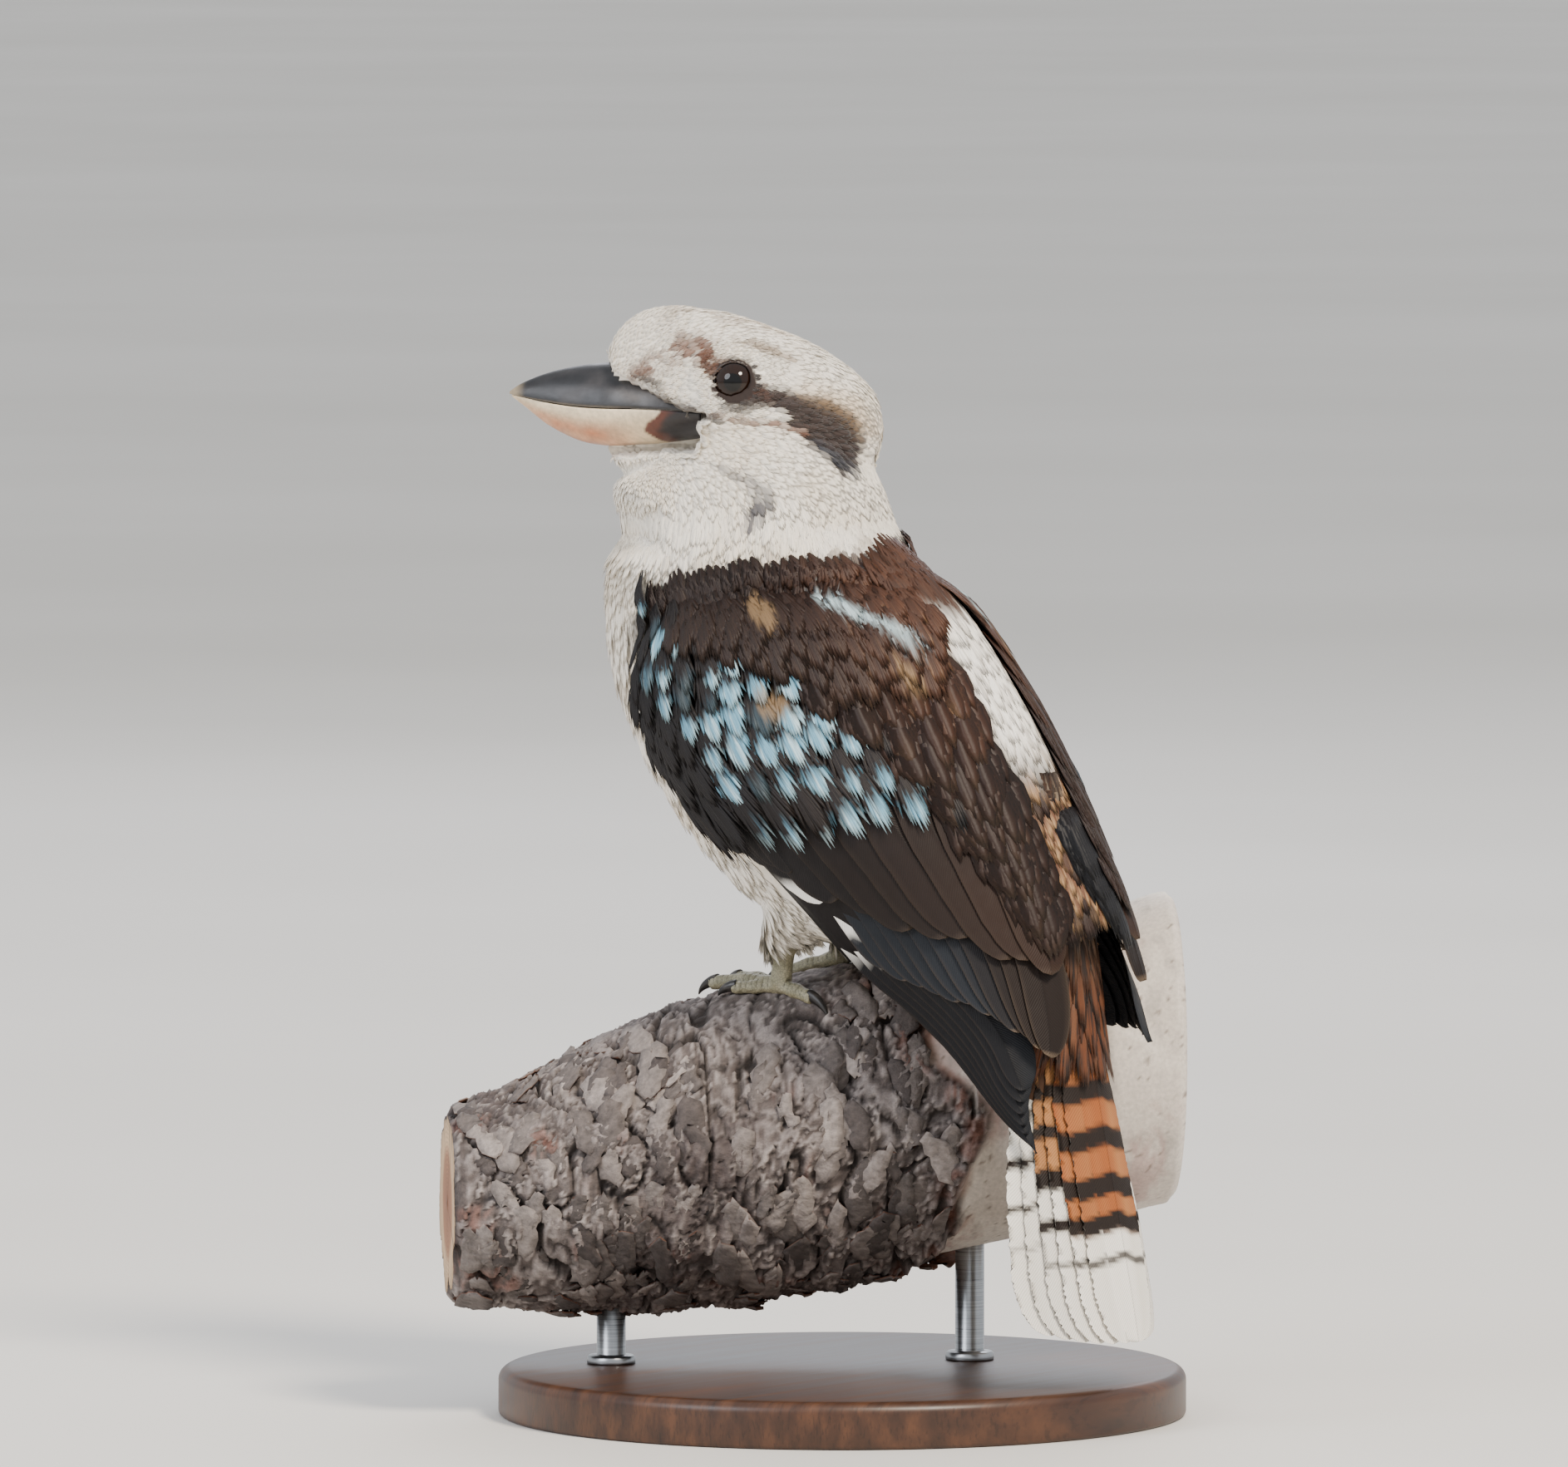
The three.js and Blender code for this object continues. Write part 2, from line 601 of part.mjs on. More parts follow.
function toe(side, spec, grow) {
  const { turn, length, pad, claw } = spec;
  const heading = THREE.MathUtils.degToRad(turn) * side;
  const ahead = v3(Math.sin(heading), -Math.cos(heading), 0);
  const start = v3(side * FOOT.x, FOOT.y, 0);
  const over = (distance, height) => {
    const p = start.clone().addScaledVector(ahead, distance);
    p.z = limbTop(p.x, p.y) + height;
    return p;
  };
  const joints = [0, 0.3, 0.5, 0.72, 1];
  const swell = [1.0, 0.86, 1.08, 0.88, 0.75];
  const stops = joints.map((share, i) => ({ at: over(length * share, pad * 0.82), radius: pad * swell[i] }));
  const clawBar = [0, 0.55, 1].map((share, i) => ({
    at: over(length * 0.94 + claw * Math.sin(share * 1.35) * 0.9, pad * 1.15 - claw * 0.42 * share ** 2),
    radius: [1.7, 1.3, 0.4][i],
  }));
  return [bar(stops, 7, grow), bar(clawBar, 5, grow)];
}

const foot = (side, grow) => joined(TOES.flatMap((spec) => toe(side, spec, grow)));

// Legs: the feathered thigh with the short bare shank below it.
const THIGH = [
  [22, 40, 52, 10],
  [22, 33, 44, 17],
  [21, 26, 33, 19],
  [19.5, 20, 22, 16.5],
  [18, 15, 13, 11],
  [17.2, 12, 8.5, 6.5],
];

function leg(side, grow) {
  const thigh = skin(steps(9, 0, THIGH.length - 1).map((at) => {
    const [x, y, middle, radius] = between(THIGH, at);
    const z = middle + (at === 0 ? grow : 0);
    return steps(15, 0, 2 * Math.PI).slice(0, -1).map((angle) =>
      v3(side * x + (radius * 0.78 + grow) * Math.cos(angle), y + (radius + grow) * Math.sin(angle),
        z + (radius * 0.35) * Math.sin(angle)));
  }));
  const shank = bar([
    { at: v3(side * 17.6, 14, 14), radius: 3.9 },
    { at: v3(side * 17.2, 11, 8), radius: FOOT.shank },
    { at: v3(side * FOOT.x, FOOT.y, limbTop(side * FOOT.x, FOOT.y) + 4), radius: FOOT.shank },
  ], 8, grow);
  return joined([thigh, shank]);
}

// Stand: a round base and two rods up into the limb.
const ROD = { radius: 5, alongs: { front: -62, back: 62 }, across: -3, intoLimb: 16, intoBase: 8 };

function rod(along, grow) {
  const foot = limbAxis.clone().multiplyScalar(along).addScaledVector(limbAcross, ROD.across);
  const bottom = BASE_TOP - ROD.intoBase - grow;
  const top = limbSection(along).underside + ROD.intoLimb + grow;
  const shaft = new THREE.CylinderGeometry(ROD.radius + grow, ROD.radius + grow, top - bottom, 20);
  shaft.rotateX(Math.PI / 2);
  shaft.translate(foot.x, foot.y, (top + bottom) / 2);
  return solidOf(shaft);
}

function base() {
  const edge = 4;
  const profile = [
    [0, BASE_UNDERSIDE], [BASE_RADIUS - 2, BASE_UNDERSIDE], [BASE_RADIUS, BASE_UNDERSIDE + 2],
    [BASE_RADIUS, BASE_TOP - edge], [BASE_RADIUS - edge * 0.3, BASE_TOP - edge * 0.3], [BASE_RADIUS - edge, BASE_TOP],
    [0, BASE_TOP],
  ].map(([r, z]) => new THREE.Vector2(r, z));
  const disc = new THREE.LatheGeometry(profile, 48);
  disc.rotateX(Math.PI / 2);
  disc.translate(BASE_CENTRE.x, BASE_CENTRE.y, 0);
  return solidOf(disc);
}

// Assembly
const plumage = (name, colour) => [name, new THREE.MeshStandardMaterial({ color: colour, roughness: 0.85 })];
const group = new THREE.Group();
group.name = "laughing_kookaburra";
group.position.set(-BASE_CENTRE.x, -BASE_CENTRE.y, -BASE_UNDERSIDE);

function add(name, solid, material) {
  const mesh = new THREE.Mesh(geometryOf(largest(solid)), material);
  mesh.name = name;
  group.add(mesh);
}

const materials = Object.fromEntries([
  plumage("white_plumage", 0xe9e2d3),
  plumage("brown_plumage", 0x4a3427),
  plumage("tail_plumage", 0xb5642f),
  ["upper_bill", new THREE.MeshStandardMaterial({ color: 0x2b2c31, roughness: 0.45 })],
  ["lower_bill", new THREE.MeshStandardMaterial({ color: 0xd9b58a, roughness: 0.5 })],
  ["eye", new THREE.MeshStandardMaterial({ color: 0x1d120d, roughness: 0.1 })],
  ["foot", new THREE.MeshStandardMaterial({ color: 0x8d8b78, roughness: 0.7 })],
  ["bark", new THREE.MeshStandardMaterial({ color: 0x6f6660, roughness: 0.95 })],
  ["stand_wood", new THREE.MeshStandardMaterial({ color: 0x3a2a20, roughness: 0.5 })],
  ["stand_metal", new THREE.MeshStandardMaterial({ color: 0x8d8f92, roughness: 0.35, metalness: 1 })],
]);

const sides = { left: 1, right: -1 };
const leftWing = wing(PRIMARIES);
const rightPlace = rightWingPlace();
const rightWing = placed(wing({ ...PRIMARIES, tips: TIGHTER_TIPS }), rightPlace);
const tailSolid = tail();
const wingRoom = lens(WING, WING_CORE, true);
const tailRoom = lens(TAIL, TAIL_CORE, true);

let body = joined([torsoSkin(), headSkin(), lids(1), lids(-1)]);
body = body.subtract(wingRoom).subtract(placed(wingRoom, rightPlace)).subtract(tailRoom);
for (const side of Object.values(sides)) body = body.subtract(leg(side, GAP)).subtract(eyeball(side, GAP));
body = body.subtract(billSkin(UPPER_BILL, GAP)).subtract(billSkin(LOWER_BILL, GAP));
const chin = v3(0, -74, 171);
const nape = v3(0, 44, 180);
const breast = v3(0, -82, 112);
const collar = v3(0, 60, 158);
body = body.subtract(knife(chin, nape, 160)).subtract(knife(breast, collar, 160));
const pieces = body.decompose().filter((piece) => piece.volume() > 500);
const middleHeight = (piece) => {
  const { min, max } = piece.boundingBox();
  return (min[2] + max[2]) / 2;
};
pieces.sort((a, b) => middleHeight(a) - middleHeight(b));
const [torso, neck, head] = pieces;

add("torso", torso, materials.white_plumage);
add("neck", neck, materials.white_plumage);
add("head", head, materials.white_plumage);
add("bill_upper", billSkin(UPPER_BILL, 0).subtract(nostril(1)).subtract(nostril(-1)), materials.upper_bill);
add("bill_lower", billSkin(LOWER_BILL, 0).subtract(billSkin(UPPER_BILL, GAP)), materials.lower_bill);
add("wing_left", leftWing, materials.brown_plumage);
add("wing_right", rightWing, materials.brown_plumage);
add("tail", tailSolid, materials.tail_plumage);
let limbSolid = limb();
for (const [name, side] of Object.entries(sides)) {
  add(`eye_${name}`, eyeball(side, 0), materials.eye);
  const footSolid = foot(side, 0);
  add(`leg_${name}`, leg(side, 0).subtract(foot(side, GAP)), materials.white_plumage);
  add(`foot_${name}`, footSolid, materials.foot);
  limbSolid = limbSolid.subtract(foot(side, GAP)).subtract(leg(side, GAP));
}
let baseSolid = base();
for (const [name, along] of Object.entries(ROD.alongs)) {
  add(`stand_rod_${name}`, rod(along, 0), materials.stand_metal);
  limbSolid = limbSolid.subtract(rod(along, GAP));
  baseSolid = baseSolid.subtract(rod(along, GAP));
}
add("perch", limbSolid, materials.bark);
add("stand_base", baseSolid, materials.stand_wood);

export default group;
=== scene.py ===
# A laughing kookaburra, life size, sitting across a cut length of gum limb on a plain stand.
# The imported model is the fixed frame. Sizes below are in millimetres in the bird's own frame,
# whose origin is the top of the limb between the feet, until row() puts them in the model's metres.
import math

import json
from itertools import product

import bmesh
import bpy
import numpy as np
from mathutils import Matrix, Vector
from mathutils.bvhtree import BVHTree

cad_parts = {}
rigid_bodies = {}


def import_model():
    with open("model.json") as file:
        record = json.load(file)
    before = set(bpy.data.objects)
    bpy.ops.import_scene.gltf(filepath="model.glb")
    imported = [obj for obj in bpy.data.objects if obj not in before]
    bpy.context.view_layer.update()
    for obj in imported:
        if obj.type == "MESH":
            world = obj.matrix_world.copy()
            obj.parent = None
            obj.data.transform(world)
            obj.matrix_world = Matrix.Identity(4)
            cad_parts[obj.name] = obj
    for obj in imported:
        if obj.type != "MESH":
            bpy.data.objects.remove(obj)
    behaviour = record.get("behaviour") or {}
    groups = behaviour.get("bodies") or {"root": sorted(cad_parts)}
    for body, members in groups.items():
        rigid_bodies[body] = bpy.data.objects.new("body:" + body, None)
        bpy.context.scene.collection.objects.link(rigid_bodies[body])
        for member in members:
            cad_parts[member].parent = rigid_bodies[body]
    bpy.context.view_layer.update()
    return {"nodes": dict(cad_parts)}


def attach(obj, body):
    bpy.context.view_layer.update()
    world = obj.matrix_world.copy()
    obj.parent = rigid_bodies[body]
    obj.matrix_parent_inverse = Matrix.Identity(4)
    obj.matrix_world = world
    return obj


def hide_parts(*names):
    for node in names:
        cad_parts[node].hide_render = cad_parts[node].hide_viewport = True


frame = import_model()

# Camera
# Stands six metres off, behind the bird's left side and a little above it, as the photographer did,
# and frames it with a long lens.
PHOTO_WIDTH_AT_BIRD = 538.9
CAMERA_DISTANCE = 6000
camera_back = Vector((0.78609, 0.61416, 0.06976))
picture_middle = Vector((-7.2, -31.0, 232.0)) / 1000
camera_data = bpy.data.cameras.new("camera")
camera_data.sensor_width = 36
camera_data.lens = camera_data.sensor_width * CAMERA_DISTANCE / PHOTO_WIDTH_AT_BIRD
camera = bpy.data.objects.new("camera", camera_data)
camera.location = picture_middle + camera_back * CAMERA_DISTANCE / 1000
camera.rotation_mode = "QUATERNION"
camera.rotation_quaternion = (-camera_back).to_track_quat("-Z", "Y")
camera_data.clip_start, camera_data.clip_end = 0.1, 200
bpy.context.scene.collection.objects.link(camera)
bpy.context.scene.camera = camera


# Studio floor and light
# A pale, matt painted floor, with a big soft lamp high on the side where the sun stood, a second one
# near the camera and an even grey surround.
def paint(code):
    """An sRGB hex colour as the linear values that a shader takes."""
    channels = [int(code[i:i + 2], 16) / 255 for i in (1, 3, 5)]
    linear = [c / 12.92 if c <= 0.04045 else ((c + 0.055) / 1.055) ** 2.4 for c in channels]
    return (*linear, 1.0)


def join(tree, made, inputs):
    """Sets or links a node's inputs. Each is given as a value, a hex colour, the socket that it is linked
    from, or a node, whose first output in use is then taken."""
    for key, value in inputs.items():
        if isinstance(value, bpy.types.Node):
            value = next(socket for socket in value.outputs if socket.enabled)
        if isinstance(value, bpy.types.NodeSocket):
            tree.links.new(value, made.inputs[key])
        else:
            made.inputs[key].default_value = paint(value) if str(value).startswith("#") else value


def node(tree, kind, inputs=None, stops=None, **settings):
    """Adds a node with its settings, its inputs and the stops of its colour ramp."""
    made = tree.nodes.new(kind)
    for key, value in settings.items():
        setattr(made, key, value)
    join(tree, made, inputs or {})
    if stops:
        ramp = made.color_ramp.elements
        while len(ramp) < len(stops):
            ramp.new(0.5)
        for element, (position, code) in zip(ramp, stops):
            element.position = position
            element.color = paint(code)
    return made


def finish(name, build):
    """A material whose surface is one Principled shader, set up by build(tree, shader)."""
    made = bpy.data.materials.new(name)
    made.use_nodes = True
    tree = made.node_tree
    shader = next(n for n in tree.nodes if n.type == "BSDF_PRINCIPLED")
    build(tree, shader)
    return made


def floor_paint(tree, shader):
    place = node(tree, "ShaderNodeTexCoord").outputs["Object"]
    cloud = node(tree, "ShaderNodeTexNoise", {"Vector": place, "Scale": 1.3, "Detail": 3.0})
    tone = node(tree, "ShaderNodeValToRGB", {"Fac": cloud}, stops=[(0.3, "#d3d0ca"), (0.7, "#dcd9d4")])
    join(tree, shader, {"Base Color": tone, "Roughness": 0.75})


FLOOR_HALF = 60  # metres
floor_mesh = bpy.data.meshes.new("floor")
corners = [(x * FLOOR_HALF, y * FLOOR_HALF, 0) for x, y in ((-1, -1), (1, -1), (1, 1), (-1, 1))]
floor_mesh.from_pydata(corners, [], [(0, 1, 2, 3)])
floor_mesh.materials.append(finish("matt_floor_paint", floor_paint))
floor = bpy.data.objects.new("floor", floor_mesh)
bpy.context.scene.collection.objects.link(floor)


def lamp(name, place, target, size, power, colour):
    data = bpy.data.lights.new(name, "AREA")
    data.shape = "DISK"
    data.size = size
    data.energy = power
    data.color = paint(colour)[:3]
    made = bpy.data.objects.new(name, data)
    made.location = place
    made.rotation_euler = (Vector(place) - Vector(target)).to_track_quat("Z", "Y").to_euler()
    bpy.context.scene.collection.objects.link(made)


lamp("sun_side", (0.6, 2.1, 2.6), (0, 0, 0.25), 0.9, 150, "#fff2e0")
lamp("front_fill", (2.6, -0.6, 1.7), (0, 0, 0.22), 1.7, 52, "#f1f4fb")
lamp("far_side", (-2.2, -1.5, 2.0), (0, 0, 0.22), 1.6, 34, "#f4f6ff")
world = bpy.data.worlds.new("surround")
world.use_nodes = True
world.node_tree.nodes["Background"].inputs["Color"].default_value = paint("#e6e8eb")
world.node_tree.nodes["Background"].inputs["Strength"].default_value = 1.1
bpy.context.scene.world = world


# Body skin
# The living bird's flesh under its plumage, as one seamless body from the bill's base to the rump and
# down both legs. It follows the solids, drawn in by the depth of the coat that lies on it.
BIRD_ORIGIN = np.array([-4.0, -26.0, 149.0])
HEAD_CENTRE = np.array([0.0, -20.0, 198.0])
HEAD_TURN = math.radians(30)
HEAD_LEFT = np.array([math.cos(HEAD_TURN), math.sin(HEAD_TURN), 0.0])
HEAD_FORWARD = np.array([math.sin(HEAD_TURN), -math.cos(HEAD_TURN), 0.0])
EYE = np.array([22.6, -0.5, 7.0])  # left, forward and up from the middle of the skull
EYE_RADIUS = 8.2
VOXEL = 1.45
# forward, ridge, mouth line and half width of each half of the bill, from its tip
UPPER_BILL = np.array([
    [81.4, 1.9, 1, 0.5], [77, 4.8, 0.3, 3.2], [68, 8.4, -1.2, 6.6], [58, 10.8, -2.4, 9.8],
    [48, 12, -2.9, 12.4], [36, 12.6, -2.9, 15.4], [26, 11.4, -3.1, 17.6], [16, 7.5, -3.6, 18.4]], float)
LOWER_BILL = np.array([
    [80.6, 0.1, 0.7, 0.5], [76, -3.4, -0.1, 3], [68, -9.6, -1.6, 6.4], [58, -14.6, -2.8, 9.6],
    [48, -16.6, -3.3, 12.2], [36, -16.2, -3.3, 15.2], [26, -15.4, -3.5, 17.4], [16, -14, -4, 18.2]], float)
# where horn shows, as forward and up: the feathers end along this line
BARE_BILL = np.array([[46, 14], [44, 8.6], [34.5, 5.0], [25, 0.2], [18, -2.8], [9, -4.2], [9, -5.4],
                      [13.4, -7.2], [12.2, -12], [13.8, -17.6], [46, -20], [90, -20], [90, 14]], float)


def row(points):
    """From the bird's frame in millimetres to the model's frame in metres."""
    return (np.asarray(points, float) + BIRD_ORIGIN) / 1000


def bird(points):
    return np.asarray(points, float) * 1000 - BIRD_ORIGIN


def in_head(points):
    """Left, forward and up of each point, from the middle of the skull."""
    q = points - HEAD_CENTRE
    return np.stack([q @ HEAD_LEFT, q @ HEAD_FORWARD, q[:, 2]], -1)


def from_head(points):
    points = np.asarray(points, float)
    left, forward, up = points[..., :1], points[..., 1:2], points[..., 2:]
    return HEAD_CENTRE + left * HEAD_LEFT + forward * HEAD_FORWARD + up * (0, 0, 1)


def unit(vectors):
    return vectors / np.maximum(np.linalg.norm(vectors, axis=-1, keepdims=True), 1e-9)


def ease(value, start, end):
    """0 before start, 1 after end and smooth between them. It also runs downwards."""
    share = np.clip((value - start) / (end - start), 0, 1)
    return share * share * (3 - 2 * share)


def grain(points, size, seed):
    """Smooth noise from -1 to 1, with features about size millimetres across."""
    q = np.asarray(points, float) / size
    cell = np.floor(q).astype(np.int64)
    part = q - cell
    part = part * part * (3 - 2 * part)
    total = np.zeros(len(q))
    for corner in product((0, 1), repeat=3):
        c = (cell + corner).astype(np.uint32)
        h = (c * np.array([374761393, 668265263, 3266489917], np.uint32)).sum(1, dtype=np.uint32)
        h = h + np.uint32(seed * 977 + 13)
        h = (h ^ (h >> np.uint32(13))) * np.uint32(1274126177)
        h = h ^ (h >> np.uint32(16))
        share = np.prod(np.where(corner, part, 1 - part), axis=1)
        total += share * (h / 4294967295.0)
    return total * 2 - 1


def face_outwards(mesh):
    turned = bmesh.new()
    turned.from_mesh(mesh)
    bmesh.ops.recalc_face_normals(turned, faces=turned.faces)
    turned.to_mesh(mesh)
    turned.free()


def piece(name, points, faces, material, colours=None, floats=None, vectors=None, uvs=None):
    """A mesh object from points in the model's metres, with its attributes and UV maps."""
    mesh = bpy.data.meshes.new(name)
    mesh.from_pydata(np.asarray(points).tolist(), [], faces if isinstance(faces, list) else faces.tolist())
    face_outwards(mesh)
    mesh.materials.append(material)
    for kind, field, table, width in (("FLOAT_COLOR", "color", colours, 4), ("FLOAT", "value", floats, 1),
                                      ("FLOAT_VECTOR", "vector", vectors, 3)):
        for key, values in (table or {}).items():
            values = np.asarray(values, np.float32)
            if width == 4 and values.shape[1] == 3:
                values = np.concatenate([values, np.ones((len(values), 1), np.float32)], axis=1)
            mesh.attributes.new(key, kind, "POINT").data.foreach_set(field, values.ravel())
    corner = np.zeros(len(mesh.loops), np.int32)
    mesh.loops.foreach_get("vertex_index", corner)
    for key, values in (uvs or {}).items():
        mesh.uv_layers.new(name=key).data.foreach_set("uv", np.asarray(values, np.float32)[corner].ravel())
    mesh.polygons.foreach_set("use_smooth", np.ones(len(mesh.polygons), bool))
    mesh.update()
    made = bpy.data.objects.new(name, mesh)
    bpy.context.scene.collection.objects.link(made)
    return made


def colour(code):
    return np.array(paint(code)[:3])


def blend(base, *coats):
    """Lays coats over a base colour one after another. Each is a colour and its share, from 0 to 1."""
    for coat, share in coats:
        base = base + (coat - base) * np.asarray(share)[..., None]
    return base


def band(position, middle, half, soft):
    """1 inside a band of that half width round middle, falling to 0 over soft."""
    return 1 - ease(np.abs(position - middle), half, half + soft)


def stripe(points, path, soft):
    """1 on a bent stripe through stops of (x, y, half width), falling to 0 over soft."""
    nearest = np.full(len(points), -1e9)
    for (x0, y0, w0), (x1, y1, w1) in zip(path, path[1:]):
        start, along = np.array([x0, y0]), np.array([x1 - x0, y1 - y0])
        share = np.clip((points - start) @ along / (along @ along), 0, 1)
        away = np.linalg.norm(points - start - share[:, None] * along, axis=1)
        nearest = np.maximum(nearest, (w0 + (w1 - w0) * share) - away)
    return ease(nearest, -soft, soft)


CREAM = colour("#efe8db")
WARM_WHITE = colour("#e6dac6")
BUFF = colour("#c9a679")
EAR_BROWN = colour("#2a1a13")
EYE_BROWN = colour("#6e4128")
CROWN_BROWN = colour("#8d7760")
BLUE_BLACK = colour("#1d2430")
# the grey of the painted shade on the throat's side, under the head
THROAT_SHADE_GREY = colour("#47454a")
MANTLE = colour("#281811")
MANTLE_RED = colour("#5b3722")
RUFOUS = colour("#a45e2f")
TAIL_BLACK = colour("#1f1713")


def inside(points, outline):
    """Which points lie inside a closed outline, all as pairs."""
    x, y = points.T
    within = np.zeros(len(points), bool)
    for (x0, y0), (x1, y1) in zip(outline, np.roll(outline, -1, axis=0)):
        crosses = (y0 > y) != (y1 > y)
        within ^= crosses & (x < (x1 - x0) * (y - y0) / np.where(y1 == y0, 1e-9, y1 - y0) + x0)
    return within


def bill_reach(forward, up):
    """How far to the side the bill reaches at points of its length and height."""
    reach = np.zeros(len(forward))
    for table, side in ((UPPER_BILL, 1), (LOWER_BILL, -1)):
        ridge, mouth, width = (np.interp(forward, table[::-1, 0], table[::-1, k]) for k in (1, 2, 3))
        arch = np.clip((up - mouth) / (ridge - mouth), 0, 1) ** (1 / 1.15)
        reach = np.where((up - mouth) * side >= 0, width * np.sin(np.arccos(arch)) ** 1.1, reach)
    return reach


def head_tint(h):
    """The head's markings, by left, forward and up."""
    left, forward, up = np.abs(h[:, 0]), h[:, 1], h[:, 2]
    side = np.stack([forward, up], -1)
    flank = ease(left, 8, 15)
    mottle = grain(h, 2.2, 5) * 0.6 + grain(h, 4.5, 6) * 0.6
    # mottled brown centre of the crown, running back to the nape, and a broken line over the eye
    crown = ease(up, 12, 24) * (1 - ease(left, 9, 17)) * ease(forward, 34, 20)
    streak = stripe(side, [(3, 21.8, 0.6), (-4, 20.4, 1.3), (-11, 18, 1.6), (-18, 15.3, 0.8)], 1.1)
    # rufous brow: solid before the eye, broken into flecks towards the bill's base
    flecks = stripe(side, [(12, 15.5, 3.6), (21, 17.5, 4.6), (30, 11.5, 3.8), (37, 8, 2.2)], 3)
    wedge = stripe(side, [(3, 13.5, 1.6), (8, 11.5, 2.8), (12, 15.5, 3.4), (17, 19.5, 2.4)], 1.6)
    before_eye = stripe(side, [(5.5, 13.0, 1.0), (9.5, 10.5, 2.0), (12, 14.0, 2.4)], 1.2)
    # the stripe that runs back from the eye and widens into the dark ear patch
    back = stripe(side, [(-5, 4.2, 3.8), (-11, 2.4, 3.3), (-16, 0.8, 4.0), (-21, -2.6, 6.2),
                         (-27, -5.4, 8.0), (-32, -8.6, 8.4), (-35.5, -13.5, 6.4), (-36.5, -18.5, 3.4)], 1.5)
    dark = ease(forward, -4, -14) * ease(grain(h * (1, 0.5, 1), 2.4, 9), -1.3, -0.5)
    ear = blend(EYE_BROWN * 0.75, (EAR_BROWN, dark))
    low_edge = stripe(side, [(-27, -13.0, 1.0), (-34, -17.5, 1.6), (-40, -21, 1.3)], 1.5)
    thin = stripe(side, [(8, -4.2, 0.6), (-2.5, -6.2, 0.9), (-14, -7.6, 0.9), (-22, -9.4, 0.8)], 0.9)
    # dark bristles over the gape and round the nostril, a buff wash over the nape, and the eye's dark rim
    lores = stripe(side, [(37, 4.4, 1.3), (30, 1.9, 1.6), (24, -0.8, 1.6), (14, -4.2, 1.4),
                          (7, -5.8, 1.2)], 0.9)
    nostril = stripe(side, [(36, 8.0, 0.8), (31, 6.2, 1.0), (27, 4.6, 0.9)], 0.8)
    wash = stripe(side, [(-22, 5, 2.5), (-36, 1, 4), (-44, -8, 4)], 4)
    ring = np.hypot(forward - EYE[1], up - EYE[2])
    under = stripe(side, [(5, -1.8, 0.8), (-2, -2.2, 1.6), (-8, 0.6, 2.4)], 0.9)
    rim = np.maximum(1 - ease(ring, 7.8, 9.0), 0.85 * under)
    return blend(
        CREAM,
        (WARM_WHITE, 0.55 * ease(grain(h, 13, 7), -0.2, 0.8)),
        (CROWN_BROWN, 0.62 * crown * ease(mottle, -0.25, 0.45)),
        (CROWN_BROWN, 0.8 * (streak * ease(left, 10, 15)) * ease(mottle, -0.8, 0.0)),
        (EYE_BROWN, 0.9 * flecks * ease(grain(h, 1.7, 8) + 0.5 * mottle, -0.4, 0.25)),
        (EYE_BROWN * 0.8, 0.92 * flank * wedge * ease(mottle, -1.0, -0.2)),
        (EYE_BROWN * 0.6, 0.85 * flank * before_eye),
        (ear, flank * back * ease(mottle, -1.5, -0.6)),
        (BLUE_BLACK, 0.8 * flank * low_edge),
        (EYE_BROWN, 0.9 * flank * thin * ease(mottle, -1.0, -0.2)),
        (EAR_BROWN, 0.9 * np.maximum(lores, nostril) * ease(left, 6, 11)),
        (BUFF, 0.4 * wash),
        (EAR_BROWN * 0.7, flank * rim))


def collar_height(y):
    """Where the white collar ends and the brown mantle begins."""
    return np.interp(y, [-60, -48, -36, -20, 0, 30, 60], [104, 118, 131, 139.5, 144, 148, 152])


